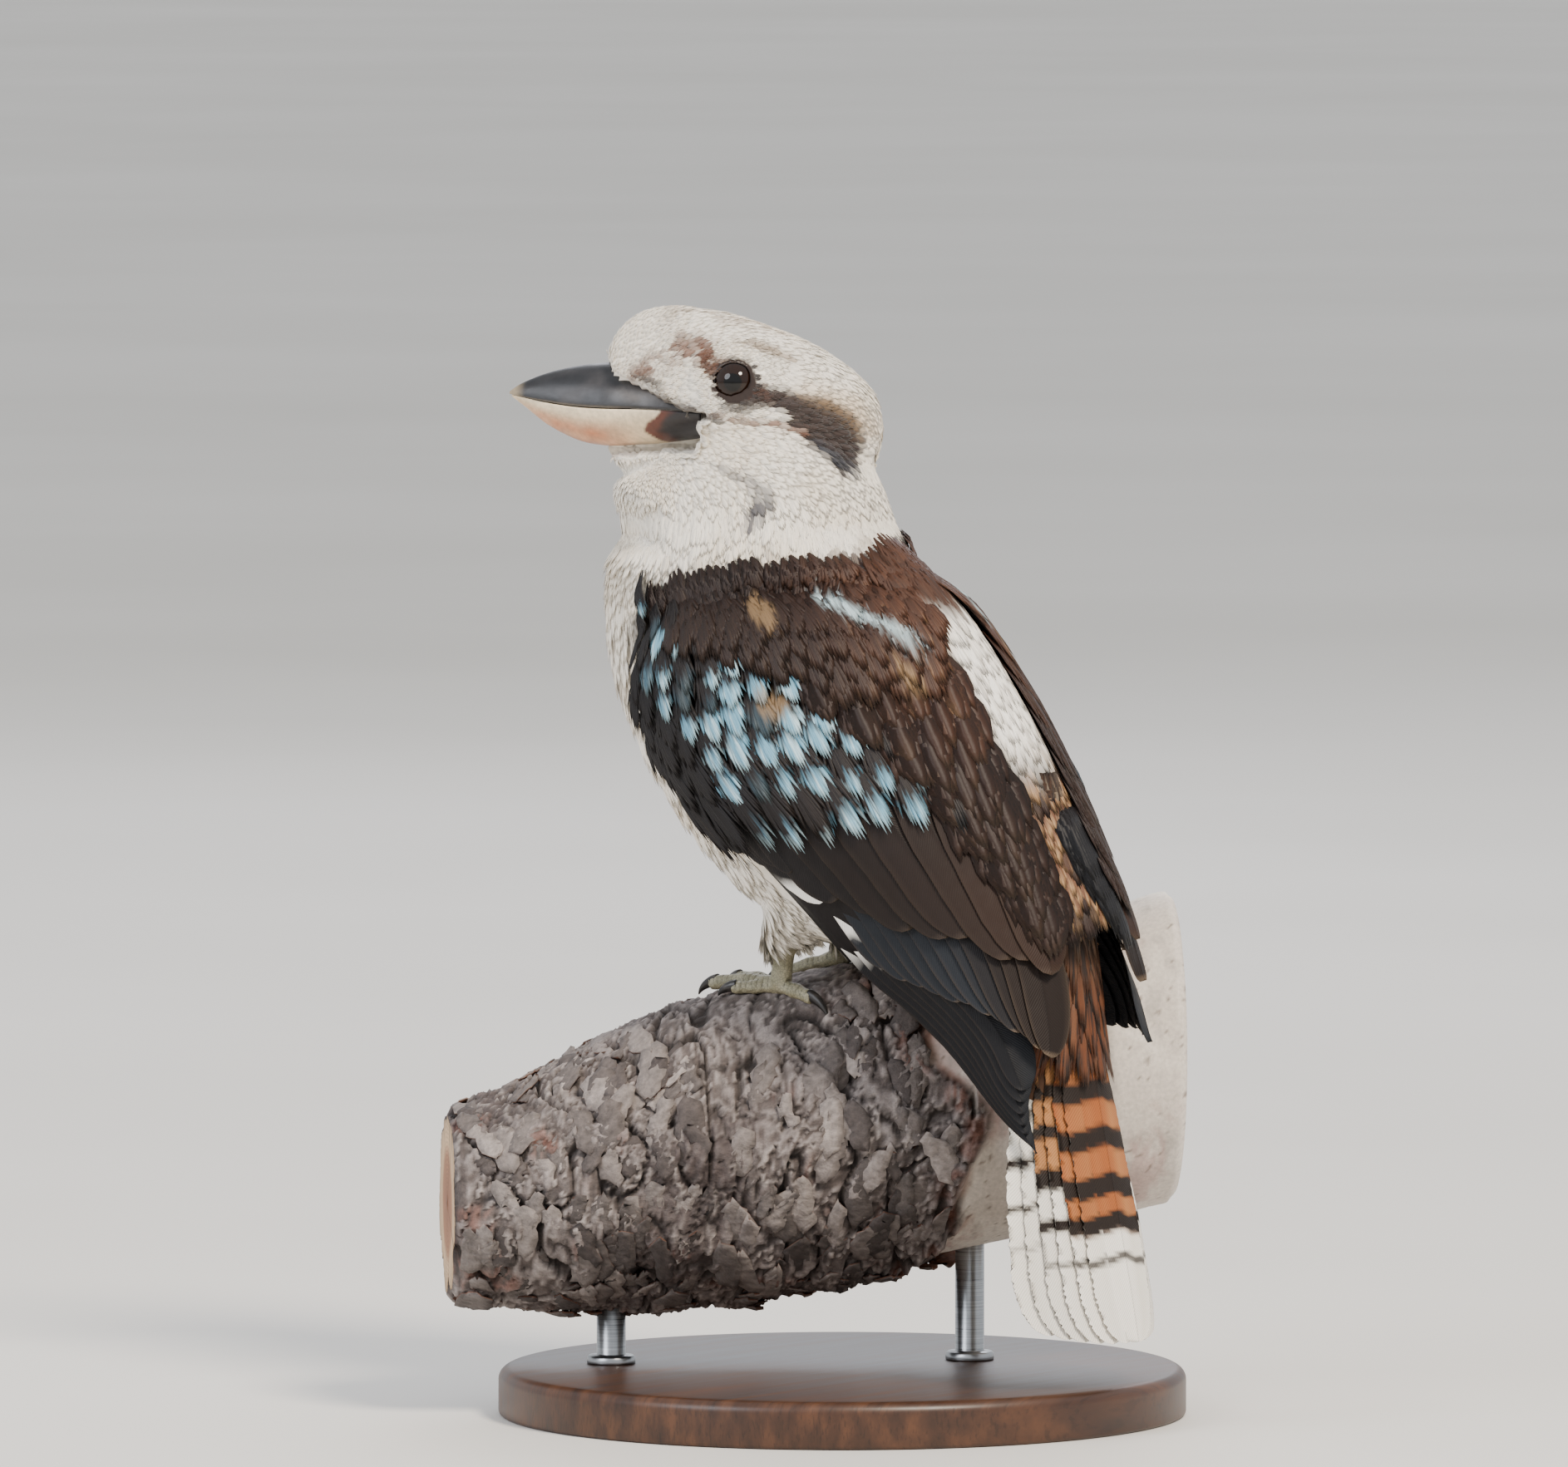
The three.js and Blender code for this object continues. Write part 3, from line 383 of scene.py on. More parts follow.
def plumage_tint(p):
    """The colour of the plumage at points of the bird's frame."""
    x, y, z = p.T
    h = in_head(p)
    fleck = grain(p, 3.0, 24) * 0.6 + grain(p, 6.5, 25) * 0.5
    # breast sides and flanks carry a faint buff wash
    flank = ease(np.abs(x), 18, 42) * ease(z, 140, 100)
    # brown mantle across the shoulders, above the white stripe of the back
    edge = collar_height(y) + 2.2 * fleck
    shoulder = ease(z, edge + 1.6, edge - 1.6) * ease(y, -50, -44)
    stripe_top = 127 + 3 * fleck
    back = ((1 - ease(np.abs(x + 2.5), 9.5, 12.5)) * ease(z, stripe_top + 2, stripe_top - 3)
            * ease(y, 20, 45))
    # reddish towards the mantle's far side: partly its own reddish brown, partly painted sunlight, broken
    # up by the flecks
    mantle = blend(MANTLE, (MANTLE_RED, 0.9 * ease(fleck, -0.2, 0.7) * ease(y, 15, 50)))
    shoulder = shoulder * ease(z, 74, 92) * ease(y + 0.4 * z, 10, 22)
    # barred rump
    bars = ease(np.sin(z * 2 * np.pi / 9.5 + fleck * 2.2), 0.0, 0.5)
    barred = blend(BUFF, (RUFOUS, 0.5 + 0.5 * np.clip(fleck * 2, -1, 1)), (TAIL_BLACK, bars))
    # specks along the collar, and a grey painted shade on the side of the throat, under the head
    specks = np.exp(-((z - collar_height(y) - 5) / 4.5) ** 2) * ease(y, -52, -36) * ease(fleck, 0.1, 0.7)
    painted_throat_shade = stripe(h[:, 1:], [(6, -21, 0.3), (-5, -25, 1.6), (-9.5, -30, 3.6), (-8, -37, 2.6)], 1.6)
    return blend(
        CREAM,
        (WARM_WHITE, 0.7 * ease(grain(p, 15, 21), -0.3, 0.7)),
        (BUFF, 0.28 * flank * ease(fleck, 0.0, 0.7)),
        (mantle, shoulder * (1 - back)),
        (BUFF, 0.75 * (back * ease(fleck, 0.12, 0.55))),
        (MANTLE, 0.7 * back * ease(grain(p, 2.6, 29), 0.45, 0.75)),
        (barred, ease(z, 52, 36) * ease(y, 62, 84)),
        (CROWN_BROWN, 0.55 * specks),
        (head_tint(h), ease(z, 161, 169)),
        (THROAT_SHADE_GREY, 0.95 * painted_throat_shade * ease(h[:, 0], 5, 16) * ease(fleck, -1.2, 0.0)))


flesh = bmesh.new()
for name in ("torso", "neck", "head", "leg_left", "leg_right"):
    part = bmesh.new()
    part.from_mesh(frame["nodes"][name].data)
    bmesh.ops.remove_doubles(part, verts=part.verts, dist=2e-5)
    part.normal_update()
    for vertex in part.verts:
        vertex.co += vertex.normal * 0.00035
    grown = bpy.data.meshes.new("grown")
    part.to_mesh(grown)
    part.free()
    flesh.from_mesh(grown)
flesh_mesh = bpy.data.meshes.new("flesh")
flesh.to_mesh(flesh_mesh)
flesh.free()


def remeshed(mesh, voxel):
    """Points in metres, faces and edges of one skin round the closed bodies of a mesh."""
    body = bpy.data.objects.new("body", mesh)
    bpy.context.scene.collection.objects.link(body)
    remesh = body.modifiers.new("remesh", "REMESH")
    remesh.mode = "VOXEL"
    remesh.voxel_size = voxel / 1000
    whole = body.evaluated_get(bpy.context.evaluated_depsgraph_get()).to_mesh()
    points = np.zeros(len(whole.vertices) * 3)
    whole.vertices.foreach_get("co", points)
    faces = [tuple(polygon.vertices) for polygon in whole.polygons]
    edges = np.array([tuple(edge.vertices) for edge in whole.edges])
    bpy.data.objects.remove(body)
    return points.reshape(-1, 3), faces, edges


def relaxed(points, edges, rounds):
    """Points drawn halfway towards the mean of their neighbours, some rounds in turn."""
    count = np.bincount(edges.ravel(), minlength=len(points))[:, None]
    for _ in range(rounds):
        total = np.zeros_like(points)
        for axis in range(3):
            total[:, axis] += np.bincount(edges[:, 0], points[edges[:, 1], axis], len(points))
            total[:, axis] += np.bincount(edges[:, 1], points[edges[:, 0], axis], len(points))
        points = points + (total / count - points) * 0.5
    return points


def vertex_normals(mesh):
    out = np.zeros(len(mesh.vertices) * 3)
    mesh.vertices.foreach_get("normal", out)
    return out.reshape(-1, 3)


skin_points, skin_faces, skin_edges = remeshed(flesh_mesh, VOXEL)
skin_points = relaxed(bird(skin_points), skin_edges, 9)
x, y, z = skin_points.T
h = in_head(skin_points)
eye_distance = np.minimum(*[np.linalg.norm(h - EYE * (side, 1, 1), axis=1) for side in (1, -1)])
facial = np.maximum(ease(h[:, 1], 14, 30) * ease(z, 160, 168), 1 - ease(eye_distance, 12, 20))
shank = ease(z, 15, 9) * ease(np.abs(x), 6, 9) * ease(y, 34, 28)
thigh = ease(z, 44, 30) * ease(np.abs(x), 4, 9) * ease(y, 52, 44)
# how long a feather grows here, and how deep the coat lies
feather_length = 14.0 - 5.0 * ease(z, 108, 150) - 2.6 * ease(z, 158, 176) - 3.4 * facial
feather_length = feather_length - 4.5 * thigh * (1 - facial)
coat_depth = (2.7 - 0.7 * ease(z, 110, 150) - 0.5 * ease(z, 158, 172) - 0.9 * facial - 0.7 * thigh
              - 0.7 * shank)
shaped = bpy.data.meshes.new("shaped")
shaped.from_pydata(skin_points.tolist(), [], skin_faces)
shaped.update()
# the throat hangs a little fuller under the bill, and the neck is a little slimmer below it
full_throat = 3.2 * np.exp(-((h[:, 2] + 31) / 6.5) ** 2) - 2.4 * np.exp(-((h[:, 2] + 46) / 5) ** 2)
coat_depth = coat_depth - full_throat * ease(h[:, 1], 20, 36)
skin_points = skin_points - vertex_normals(shaped) * coat_depth[:, None]
skin_points = relaxed(skin_points, skin_edges, 2)
# beside the bill's horn the flesh lies inside it, so that the feathers spring from the horn's edge
h = in_head(skin_points)
horn = inside(h[:, 1:], BARE_BILL) & (h[:, 1] > 8)
reach = np.maximum(bill_reach(h[:, 1], h[:, 2]) - 1.2, 0)
pressed = np.where(horn & (np.abs(h[:, 0]) > reach), reach * np.sign(h[:, 0]), h[:, 0]) - h[:, 0]
skin_points = skin_points + pressed[:, None] * HEAD_LEFT
x, y, z = skin_points.T
h = in_head(skin_points)

# the lie of the feathers: from the bill back over the head, and down and back over the body
bill_root = np.array([0.0, 52.0, -2.0])
head_flow = unit(h - bill_root)
head_flow = head_flow[:, :1] * HEAD_LEFT + head_flow[:, 1:2] * HEAD_FORWARD + head_flow[:, 2:] * (0, 0, 1)
front = ease(y, 10, -30)
body_flow = unit(np.stack([0 * x, 0.66 - 0.42 * front, -0.75 - 0.2 * front], -1))
neck_flow = np.array([0.0, 0.12, -1.0])
lower = ease(z, 176, 158)
lie = head_flow * (1 - lower)[:, None] + neck_flow * lower[:, None]
chest = ease(z, 142, 118)
lie = lie * (1 - chest)[:, None] + body_flow * chest[:, None]

skin_tint = blend(plumage_tint(skin_points), (colour("#7d7863"), shank))


def skin_surface(tree, shader):
    """Bare bird skin and down: matt, finely pimpled where each feather is rooted."""
    tint = node(tree, "ShaderNodeAttribute", attribute_name="tint")
    place = node(tree, "ShaderNodeTexCoord").outputs["Object"]
    pores = node(tree, "ShaderNodeTexVoronoi", {"Vector": place, "Scale": 520.0})
    shade = node(tree, "ShaderNodeMapRange", {"Value": pores, "From Max": 0.6,
                                             "To Min": 0.88, "To Max": 1.0})
    mixed = node(tree, "ShaderNodeMix", {0: 1.0, 6: tint, 7: shade},
                 data_type="RGBA", blend_type="MULTIPLY")
    bump = node(tree, "ShaderNodeBump", {"Height": pores, "Strength": 0.4, "Distance": 0.0004})
    join(tree, shader, {"Base Color": mixed, "Normal": bump, "Roughness": 0.8})


skin = piece("body_skin", row(skin_points), skin_faces, finish("bird_skin_and_down", skin_surface),
             colours={"tint": skin_tint})
bpy.context.view_layer.objects.active = skin
skin.select_set(True)
bpy.ops.object.mode_set(mode="EDIT")
bpy.ops.mesh.select_all(action="SELECT")
bpy.ops.uv.smart_project(angle_limit=math.radians(66), island_margin=0.004)
bpy.ops.object.mode_set(mode="OBJECT")
skin.data.uv_layers[0].name = "OFBake"
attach(skin, "root")
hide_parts("torso", "neck", "head", "leg_left", "leg_right")


# Small feathers of the head and body
# Soft contour feathers, each a fan of loose barbs, that lie back from the bill over the head and down
# the body. They are tiny on the face, longer and broader on the breast, flanks and back.
def lock(points, faces, start, turn, length, width, rise, bend, thick, stations=3):
    """One tapering bunch of barbs, as a closed three-sided sliver, added to points and faces."""
    first = len(points)
    along = np.array([math.sin(turn), math.cos(turn)])
    across = np.array([along[1], -along[0]])
    for i in range(stations):
        share = i / stations
        half = width / 2 * (0.55 + 0.9 * share if share < 0.5 else 1.0 - 0.55 * (share - 0.5) / 0.5)
        spot = np.array(start[:2]) + along * length * share + across * bend * length * share ** 2
        height = start[2] + rise * (1.5 * share - 0.5 * share ** 2)
        points.append((*(spot - across * half), height))
        points.append((*(spot + across * half), height))
        points.append((*spot, height + thick))
    end = np.array(start[:2]) + along * length + across * bend * length
    points.append((*end, start[2] + rise))
    for i in range(stations - 1):
        a = first + 3 * i
        for k, n in ((0, 1), (1, 2), (2, 0)):
            faces.append((a + k, a + 3 + k, a + 3 + n, a + n))
    a = first + 3 * (stations - 1)
    tip = first + 3 * stations
    faces.extend([(a, tip, a + 1), (a + 1, tip, a + 2), (a + 2, tip, a), (first, first + 1, first + 2)])


def barbed(barbs, spread, width, rise, thick, seed, stations=3):
    """A feather of length 1 along +Y: barbs that fan out from its root and from along its shaft."""
    rng = np.random.default_rng(seed)
    points, faces = [], []
    for i in range(barbs):
        side = (i / (barbs - 1)) * 2 - 1
        root = 0.34 * (1 - abs(side)) * rng.uniform(0.7, 1.1)
        reach = (1 - 0.30 * side * side) * rng.uniform(0.9, 1.06) - root
        lock(points, faces, (side * width * 0.5, root, rise * root * 1.2 + 0.02 * (1 - abs(side))),
             side * spread * rng.uniform(0.75, 1.15), reach, width, rise * (1 - root * 0.9),
             -0.16 * side * rng.uniform(0.3, 1.2), thick, stations)
    return np.array(points), faces


def tuft(name, **shape):
    """A small feather as an object of its own, to be set on the skin."""
    points, faces = barbed(**shape)
    mesh = bpy.data.meshes.new(name)
    mesh.from_pydata(points.tolist(), [], faces)
    patch = np.zeros((len(points), 3), np.float32)
    patch[:, 0] = np.clip(points[:, 0] / 0.8, -1, 1) * 0.0015
    share = np.clip(points[:, 1], 0, 1)
    patch[:, 1] = (share - 0.5) * 0.003
    mesh.attributes.new("patch", "FLOAT_VECTOR", "POINT").data.foreach_set("vector", patch.ravel())
    mesh.attributes.new("share", "FLOAT", "POINT").data.foreach_set("value", share.astype(np.float32))
    mesh.polygons.foreach_set("use_smooth", np.ones(len(mesh.polygons), bool))
    face_outwards(mesh)
    return bpy.data.objects.new(name, mesh)


def tuft_family(name, **shape):
    """Four feathers alike but for chance, in a collection of their own that is never shown."""
    family = bpy.data.collections.new(name)
    for seed in range(4):
        family.objects.link(tuft(f"{name}_{seed}", seed=seed, **shape))
    return family


def feathering():
    """The node group that sets feathers on the skin."""
    tree = bpy.data.node_groups.new("feathering", "GeometryNodeTree")
    sockets = (("Skin", "NodeSocketGeometry"), ("Feathers", "NodeSocketCollection"),
               ("Spacing", "NodeSocketFloat"), ("Where", "NodeSocketString"),
               ("Breadth", "NodeSocketFloat"), ("Untidy", "NodeSocketFloat"), ("Seed", "NodeSocketInt"),
               ("Plumage", "NodeSocketMaterial"))
    for label, kind in sockets:
        tree.interface.new_socket(label, in_out="INPUT", socket_type=kind)
    tree.interface.new_socket("Coat", in_out="OUTPUT", socket_type="NodeSocketGeometry")
    given = node(tree, "NodeGroupInput").outputs
    where = node(tree, "GeometryNodeInputNamedAttribute", {"Name": given["Where"]}, data_type="FLOAT")
    roots = node(tree, "GeometryNodeDistributePointsOnFaces",
                 {"Mesh": given["Skin"], "Distance Min": given["Spacing"], "Density Max": 2.0e6,
                  "Density Factor": where, "Seed": given["Seed"]},
                 distribute_method="POISSON")
    unwrap = node(tree, "GeometryNodeInputNamedAttribute", {"Name": "OFBake"}, data_type="FLOAT_VECTOR")
    kept = node(tree, "GeometryNodeStoreNamedAttribute",
                {"Geometry": roots, "Name": "root_place", "Value": unwrap},
                data_type="FLOAT_VECTOR", domain="POINT")
    chance = node(tree, "FunctionNodeRandomValue", {"Seed": 3}, data_type="FLOAT")
    marked = node(tree, "GeometryNodeStoreNamedAttribute",
                  {"Geometry": kept, "Name": "chance", "Value": chance},
                  data_type="FLOAT", domain="POINT")
    lie_of = node(tree, "GeometryNodeInputNamedAttribute", {"Name": "lie"}, data_type="FLOAT_VECTOR")
    facing = node(tree, "FunctionNodeAxesToRotation",
                  {"Primary Axis": roots.outputs["Normal"], "Secondary Axis": lie_of},
                  primary_axis="Z", secondary_axis="Y")
    less = node(tree, "ShaderNodeMath", {0: given["Untidy"], 1: -1.0}, operation="MULTIPLY")
    low = node(tree, "ShaderNodeCombineXYZ", {"X": less, "Y": less, "Z": less})
    high = node(tree, "ShaderNodeCombineXYZ",
                {"X": given["Untidy"], "Y": given["Untidy"], "Z": given["Untidy"]})
    sway = node(tree, "FunctionNodeRandomValue", {"Min": low, "Max": high, "Seed": 11},
                data_type="FLOAT_VECTOR")
    calm = node(tree, "ShaderNodeVectorMath", {0: sway, 1: (0.2, 0.25, 1.0)}, operation="MULTIPLY")
    turn = node(tree, "FunctionNodeEulerToRotation", {0: calm})
    facing = node(tree, "FunctionNodeRotateRotation", {0: facing, 1: turn}, rotation_space="LOCAL")
    long_of = node(tree, "GeometryNodeInputNamedAttribute", {"Name": "long"}, data_type="FLOAT")
    vary = node(tree, "FunctionNodeRandomValue", {2: 0.84, 3: 1.16, "Seed": 7}, data_type="FLOAT")
    length = node(tree, "ShaderNodeMath", {0: long_of, 1: vary}, operation="MULTIPLY")
    width = node(tree, "ShaderNodeMath", {0: length, 1: given["Breadth"]}, operation="MULTIPLY")
    size = node(tree, "ShaderNodeCombineXYZ", {"X": width, "Y": length, "Z": length})
    choice = node(tree, "GeometryNodeCollectionInfo", {0: given["Feathers"], 1: True, 2: True})
    pick = node(tree, "FunctionNodeRandomValue", {4: 0, 5: 3, "Seed": 19}, data_type="INT")
    set_on = node(tree, "GeometryNodeInstanceOnPoints",
                  {"Points": marked, "Instance": choice, "Pick Instance": True,
                   "Instance Index": pick, "Rotation": facing, "Scale": size})
    real = node(tree, "GeometryNodeRealizeInstances", {0: set_on})
    dressed = node(tree, "GeometryNodeSetMaterial", {"Geometry": real, "Material": given["Plumage"]})
    node(tree, "NodeGroupOutput", {0: dressed})
    return tree


def feather_surface(tree, shader):
    """Keratin barbs: matt. Each feather is darkened towards its root with painted shade, where the feathers
    above lie over it.
    """
    tint = node(tree, "ShaderNodeAttribute", attribute_name="tint")
    share = node(tree, "ShaderNodeAttribute", attribute_name="share")
    chance_of = node(tree, "ShaderNodeAttribute", attribute_name="chance")
    place = node(tree, "ShaderNodeTexCoord").outputs["Object"]
    # painted shade: each feather is darker towards its root, under the feathers that overlap it
    root_shade = node(tree, "ShaderNodeMapRange", {"Value": share.outputs["Fac"], "From Max": 0.7,
                                                  "To Min": 0.90, "To Max": 1.0})
    vary = node(tree, "ShaderNodeMapRange",
                {"Value": chance_of.outputs["Fac"], "To Min": 0.94, "To Max": 1.03})
    both = node(tree, "ShaderNodeMath", {0: root_shade, 1: vary}, operation="MULTIPLY")
    shaded = node(tree, "ShaderNodeMix", {0: 1.0, 6: tint, 7: both},
                  data_type="RGBA", blend_type="MULTIPLY")
    fibre = node(tree, "ShaderNodeTexNoise", {"Vector": place, "Scale": 900.0, "Detail": 2.0})
    bump = node(tree, "ShaderNodeBump", {"Height": fibre, "Strength": 0.35, "Distance": 0.0003})
    join(tree, shader, {"Base Color": shaded, "Normal": bump,
                        "Roughness": 0.72, "Sheen Weight": 0.15, "Sheen Roughness": 0.5})


def wing_feather_surface(tree, shader):
    """The wing's soft feathers: closer and smoother than the body's, with a faint silky shine."""
    feather_surface(tree, shader)
    join(tree, shader, {"Sheen Weight": 0.0, "Roughness": 0.55, "Specular IOR Level": 0.3})


# The wings and the tail hide part of the body: no feather grows under their sheets.
WING = np.array([
    [43, -39, 119, 53, 4, 136, 14, 55, 140],
    [50, -31, 91, 58, 26, 108, 13, 79, 114],
    [52, -15, 68, 59, 45, 83, 13, 97, 88],
    [50, 15, 42, 56, 67, 57, 13, 111, 62],
    [46, 34, 22, 50, 85, 33, 13, 123, 38],
    [43, 56, 0, 44, 102, 9, 14, 132, 14],
    [41, 77, -13, 40, 115, -10, 17, 136, -12],
    [39, 104, -35, 38, 123, -30, 25, 137, -31],
    [37, 127, -54, 36.5, 133, -52, 30, 139, -50]], float)
TAIL = np.array([[w, y - droop, z, 0, y, z, -w, y - droop, z] for z, y, w, droop in (
    (42, 119, 12, 6), (12, 124.5, 17, 8), (-24, 129, 26.5, 17), (-50, 133.5, 37, 18.5), (-72, 138, 40, 16),
    (-98, 143.5, 39, 15), (-119, 147.5, 36, 12))], float)


def between(rows, at):
    """Smooth values between the rows of a table of stations, going on straight beyond its ends."""
    at = np.asarray(at, float)
    last = len(rows) - 1
    kept = np.clip(at, 0, last)
    i = np.clip(np.floor(kept).astype(int), 0, last - 1)
    t = (kept - i)[..., None]
    p, q, r, s = (rows[np.clip(i + k, 0, last)] for k in (-1, 0, 1, 2))
    square, cube = t * t, t * t * t
    beyond = (at - kept)[..., None] * np.where(at[..., None] < 0, rows[1] - rows[0], rows[-1] - rows[-2])
    return ((2 * cube - 3 * square + 1) * q + (cube - 2 * square + t) * (r - p) / 2
            + (3 * square - 2 * cube) * r + (cube - square) * (s - q) / 2 + beyond)


def sheet(rows, at, v):
    """Points of a feathered sheet, by station and by v from its leading edge."""
    stations = between(rows, at)
    lead, crest, far = stations[..., 0:3], stations[..., 3:6], stations[..., 6:9]
    handle = 2 * crest - 0.5 * lead - 0.5 * far
    v = np.asarray(v, float)[..., None]
    return lead * (1 - v) ** 2 + handle * 2 * v * (1 - v) + far * v * v


def sheet_frame(rows, at, v):
    nudge = 0.02
    down = (sheet(rows, at + nudge, v) - sheet(rows, at - nudge, v)) / (2 * nudge)
    over = (sheet(rows, at, v + nudge) - sheet(rows, at, v - nudge)) / (2 * nudge)
    return sheet(rows, at, v), down, over, unit(np.cross(down, over))


# The right wing is the left one mirrored, lifted and rolled a little off the back about its shoulder.
shoulder, raised = Vector((-44, -20, 124)), Vector((0, 0, 4))
lifted = Matrix.Rotation(math.radians(3.2), 4, "X")
rolled = Matrix.Rotation(math.radians(6), 4, Vector((0, 0.66, -0.75)).normalized())
RIGHT_WING = np.array(Matrix.Translation(shoulder + raised) @ lifted @ rolled
                      @ Matrix.Translation(-shoulder) @ Matrix.Diagonal((-1, 1, 1, 1)))


def to_right(points):
    return points @ RIGHT_WING[:3, :3].T + RIGHT_WING[:3, 3]


at, v = (g.ravel() for g in np.meshgrid(np.linspace(0.5, 7, 46), np.linspace(0.1, 0.97, 20)))
wing_spots, _, _, wing_out = sheet_frame(WING, at, v)
mirrored_out = unit(wing_out @ RIGHT_WING[:3, :3].T)
at, v = (g.ravel() for g in np.meshgrid(np.linspace(0.9, 5, 24), np.linspace(0.05, 0.95, 10)))
tail_spots, _, _, tail_out = sheet_frame(TAIL, at, v)
spots = np.concatenate([wing_spots, to_right(wing_spots), tail_spots])
outs = np.concatenate([wing_out, mirrored_out, tail_out])
hidden = np.zeros(len(skin_points), bool)
for start in range(0, len(skin_points), 2000):
    block = skin_points[start:start + 2000]
    away = block[:, None, :] - spots[None, :, :]
    distance = np.linalg.norm(away, axis=2)
    nearest = distance.argmin(axis=1)
    pick = np.arange(len(block))
    below = np.einsum("ij,ij->i", away[pick, nearest], outs[nearest])
    hidden[start:start + 2000] = (distance[pick, nearest] < 22) & (below < -4.5)
eye_ring = np.where(np.abs(h[:, 0]) > 15, np.hypot(h[:, 1] - EYE[1], h[:, 2] - EYE[2]), 99)
feathered = ~hidden & (eye_ring > 7.3) & (shank < 0.35) & ~horn
face = (facial > 0.45) & feathered
zones = {
    "face": face,
    "crown": (z > 161) & ~face & feathered & (h[:, 2] > -14),
    "cheeks": (z > 158) & ~face & feathered & (h[:, 2] <= -14),
    "throat": (z <= 158) & (z > 128) & feathered,
    "breast": (z <= 128) & (z > 78) & feathered & (y < 28),
    "belly": (z <= 78) & feathered & (y < 58) & (thigh < 0.5),
    "thighs": (z <= 78) & feathered & (thigh >= 0.5),
    "back": (z <= 128) & feathered & (((y >= 28) & (z > 78)) | ((y >= 58) & (z <= 78))),
}
on_skin = skin.data.attributes
for key, mask in zones.items():
    on_skin.new("grow_" + key, "FLOAT", "POINT").data.foreach_set("value", mask.astype(np.float32))
feather_length = (feather_length / 1000).astype(np.float32)
on_skin.new("lie", "FLOAT_VECTOR", "POINT").data.foreach_set("vector", lie.astype(np.float32).ravel())
on_skin.new("long", "FLOAT", "POINT").data.foreach_set("value", feather_length)

soft_plumage = finish("soft_contour_feathers", feather_surface)
feathering_tree = feathering()
families = {
    "tiny": tuft_family("tiny", barbs=5, spread=0.36, width=0.14, rise=0.07, thick=0.025),
    "fine": tuft_family("fine", barbs=8, spread=0.31, width=0.105, rise=0.022, thick=0.009),
    "full": tuft_family("full", barbs=12, spread=0.32, width=0.07, rise=0.035, thick=0.009),
}
COATS = {  # zone: feathers, spacing, breadth, untidiness
    "face": ("tiny", 1.22, 1.0, 0.22),
    "crown": ("fine", 1.74, 1.05, 0.14),
    "cheeks": ("fine", 1.66, 1.05, 0.13),
    "throat": ("fine", 1.82, 1.12, 0.13),
    "breast": ("full", 2.45, 1.0, 0.16),
    "belly": ("full", 2.85, 1.0, 0.18),
    "thighs": ("fine", 2.0, 1.0, 0.2),
    "back": ("full", 2.3, 0.9, 0.16),
}
for seed, (key, (family, spacing, breadth, untidy)) in enumerate(COATS.items()):
    growth = skin.modifiers.new("growth", "NODES")
    growth.node_group = feathering_tree
    given = {s.name: s.identifier for s in feathering_tree.interface.items_tree if s.in_out == "INPUT"}
    growth[given["Feathers"]] = families[family]
    growth[given["Spacing"]] = spacing / 1000
    growth[given["Where"]] = "grow_" + key
    growth[given["Breadth"]] = breadth
    growth[given["Untidy"]] = untidy
    growth[given["Seed"]] = seed + 40
    growth[given["Plumage"]] = soft_plumage
    grown = bpy.data.meshes.new_from_object(skin.evaluated_get(bpy.context.evaluated_depsgraph_get()))
    skin.modifiers.remove(growth)
    count = len(grown.vertices)
    root_place, patch = np.zeros(count * 3, np.float32), np.zeros(count * 3, np.float32)
    grown.attributes["root_place"].data.foreach_get("vector", root_place)
    grown.attributes["patch"].data.foreach_get("vector", patch)
    spot = (root_place + patch).reshape(-1, 3)[:, :2]
    for label in ("root_place", "patch", "lie", "long", "OFBake", *("grow_" + name for name in zones)):
        if label in grown.attributes:
            grown.attributes.remove(grown.attributes[label])
    corner = np.zeros(len(grown.loops), np.int32)
    grown.loops.foreach_get("vertex_index", corner)
    grown.uv_layers.new(name="OFBake").data.foreach_set("uv", spot[corner].ravel())
    coat = bpy.data.objects.new("plumage_" + key, grown)
    bpy.context.scene.collection.objects.link(coat)
    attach(coat, "root")
for key in (*("grow_" + name for name in zones), "lie", "long"):
    skin.data.attributes.remove(skin.data.attributes[key])
for family in families.values():
    for shape in list(family.objects):
        bpy.data.objects.remove(shape)
    bpy.data.collections.remove(family)


# Wings
# Each folded wing carries its feathers in overlapping tiers: the long primaries at the bottom, then
# secondaries and greater coverts, all stiff vanes. Over them lie soft feathers: the dark lesser coverts,
# the pale blue-tipped ones, and the brown scapulars that close the wing against the back.
ACROSS = np.array([-1, -0.93, -0.74, -0.46, -0.2, -0.05, 0, 0.05, 0.2, 0.46, 0.74, 0.93, 1])
# slate blue-grey: the flight feathers' blackish colour with a painted sheen, the sky's reflection, laid
# into it
SHEEN_SLATE = colour("#1c2026")
FLIGHT_BLACK = colour("#0d0d11")
COVERT_BROWN = colour("#1a110d")
COVERT_BLACK = colour("#110d0e")
EDGE = colour("#6a5a4a")
BLUE = colour("#6d9db3")
BLUE_WHITE = colour("#c3dde4")
# the secondaries' undersides: their own dark grey-brown deepened to near black with painted shade
UNDER_WING_SHADED = colour("#1d1a1a")
WHITE = colour("#f2eee6")


def new_store():
    return {"points": [], "faces": [], "tint": [], "own": [], "cell": [], "feathers": 0, "vertices": 0}


def keep(store, points, faces, tint, own, cell):
    """Adds finished feathers to a store."""
    for key, values in (("points", points), ("tint", tint), ("own", own), ("cell", cell)):
        store[key].append(values)
    store["faces"].extend(tuple(face) for block in faces for face in (block + store["vertices"]).tolist())
    store["vertices"] += len(points)


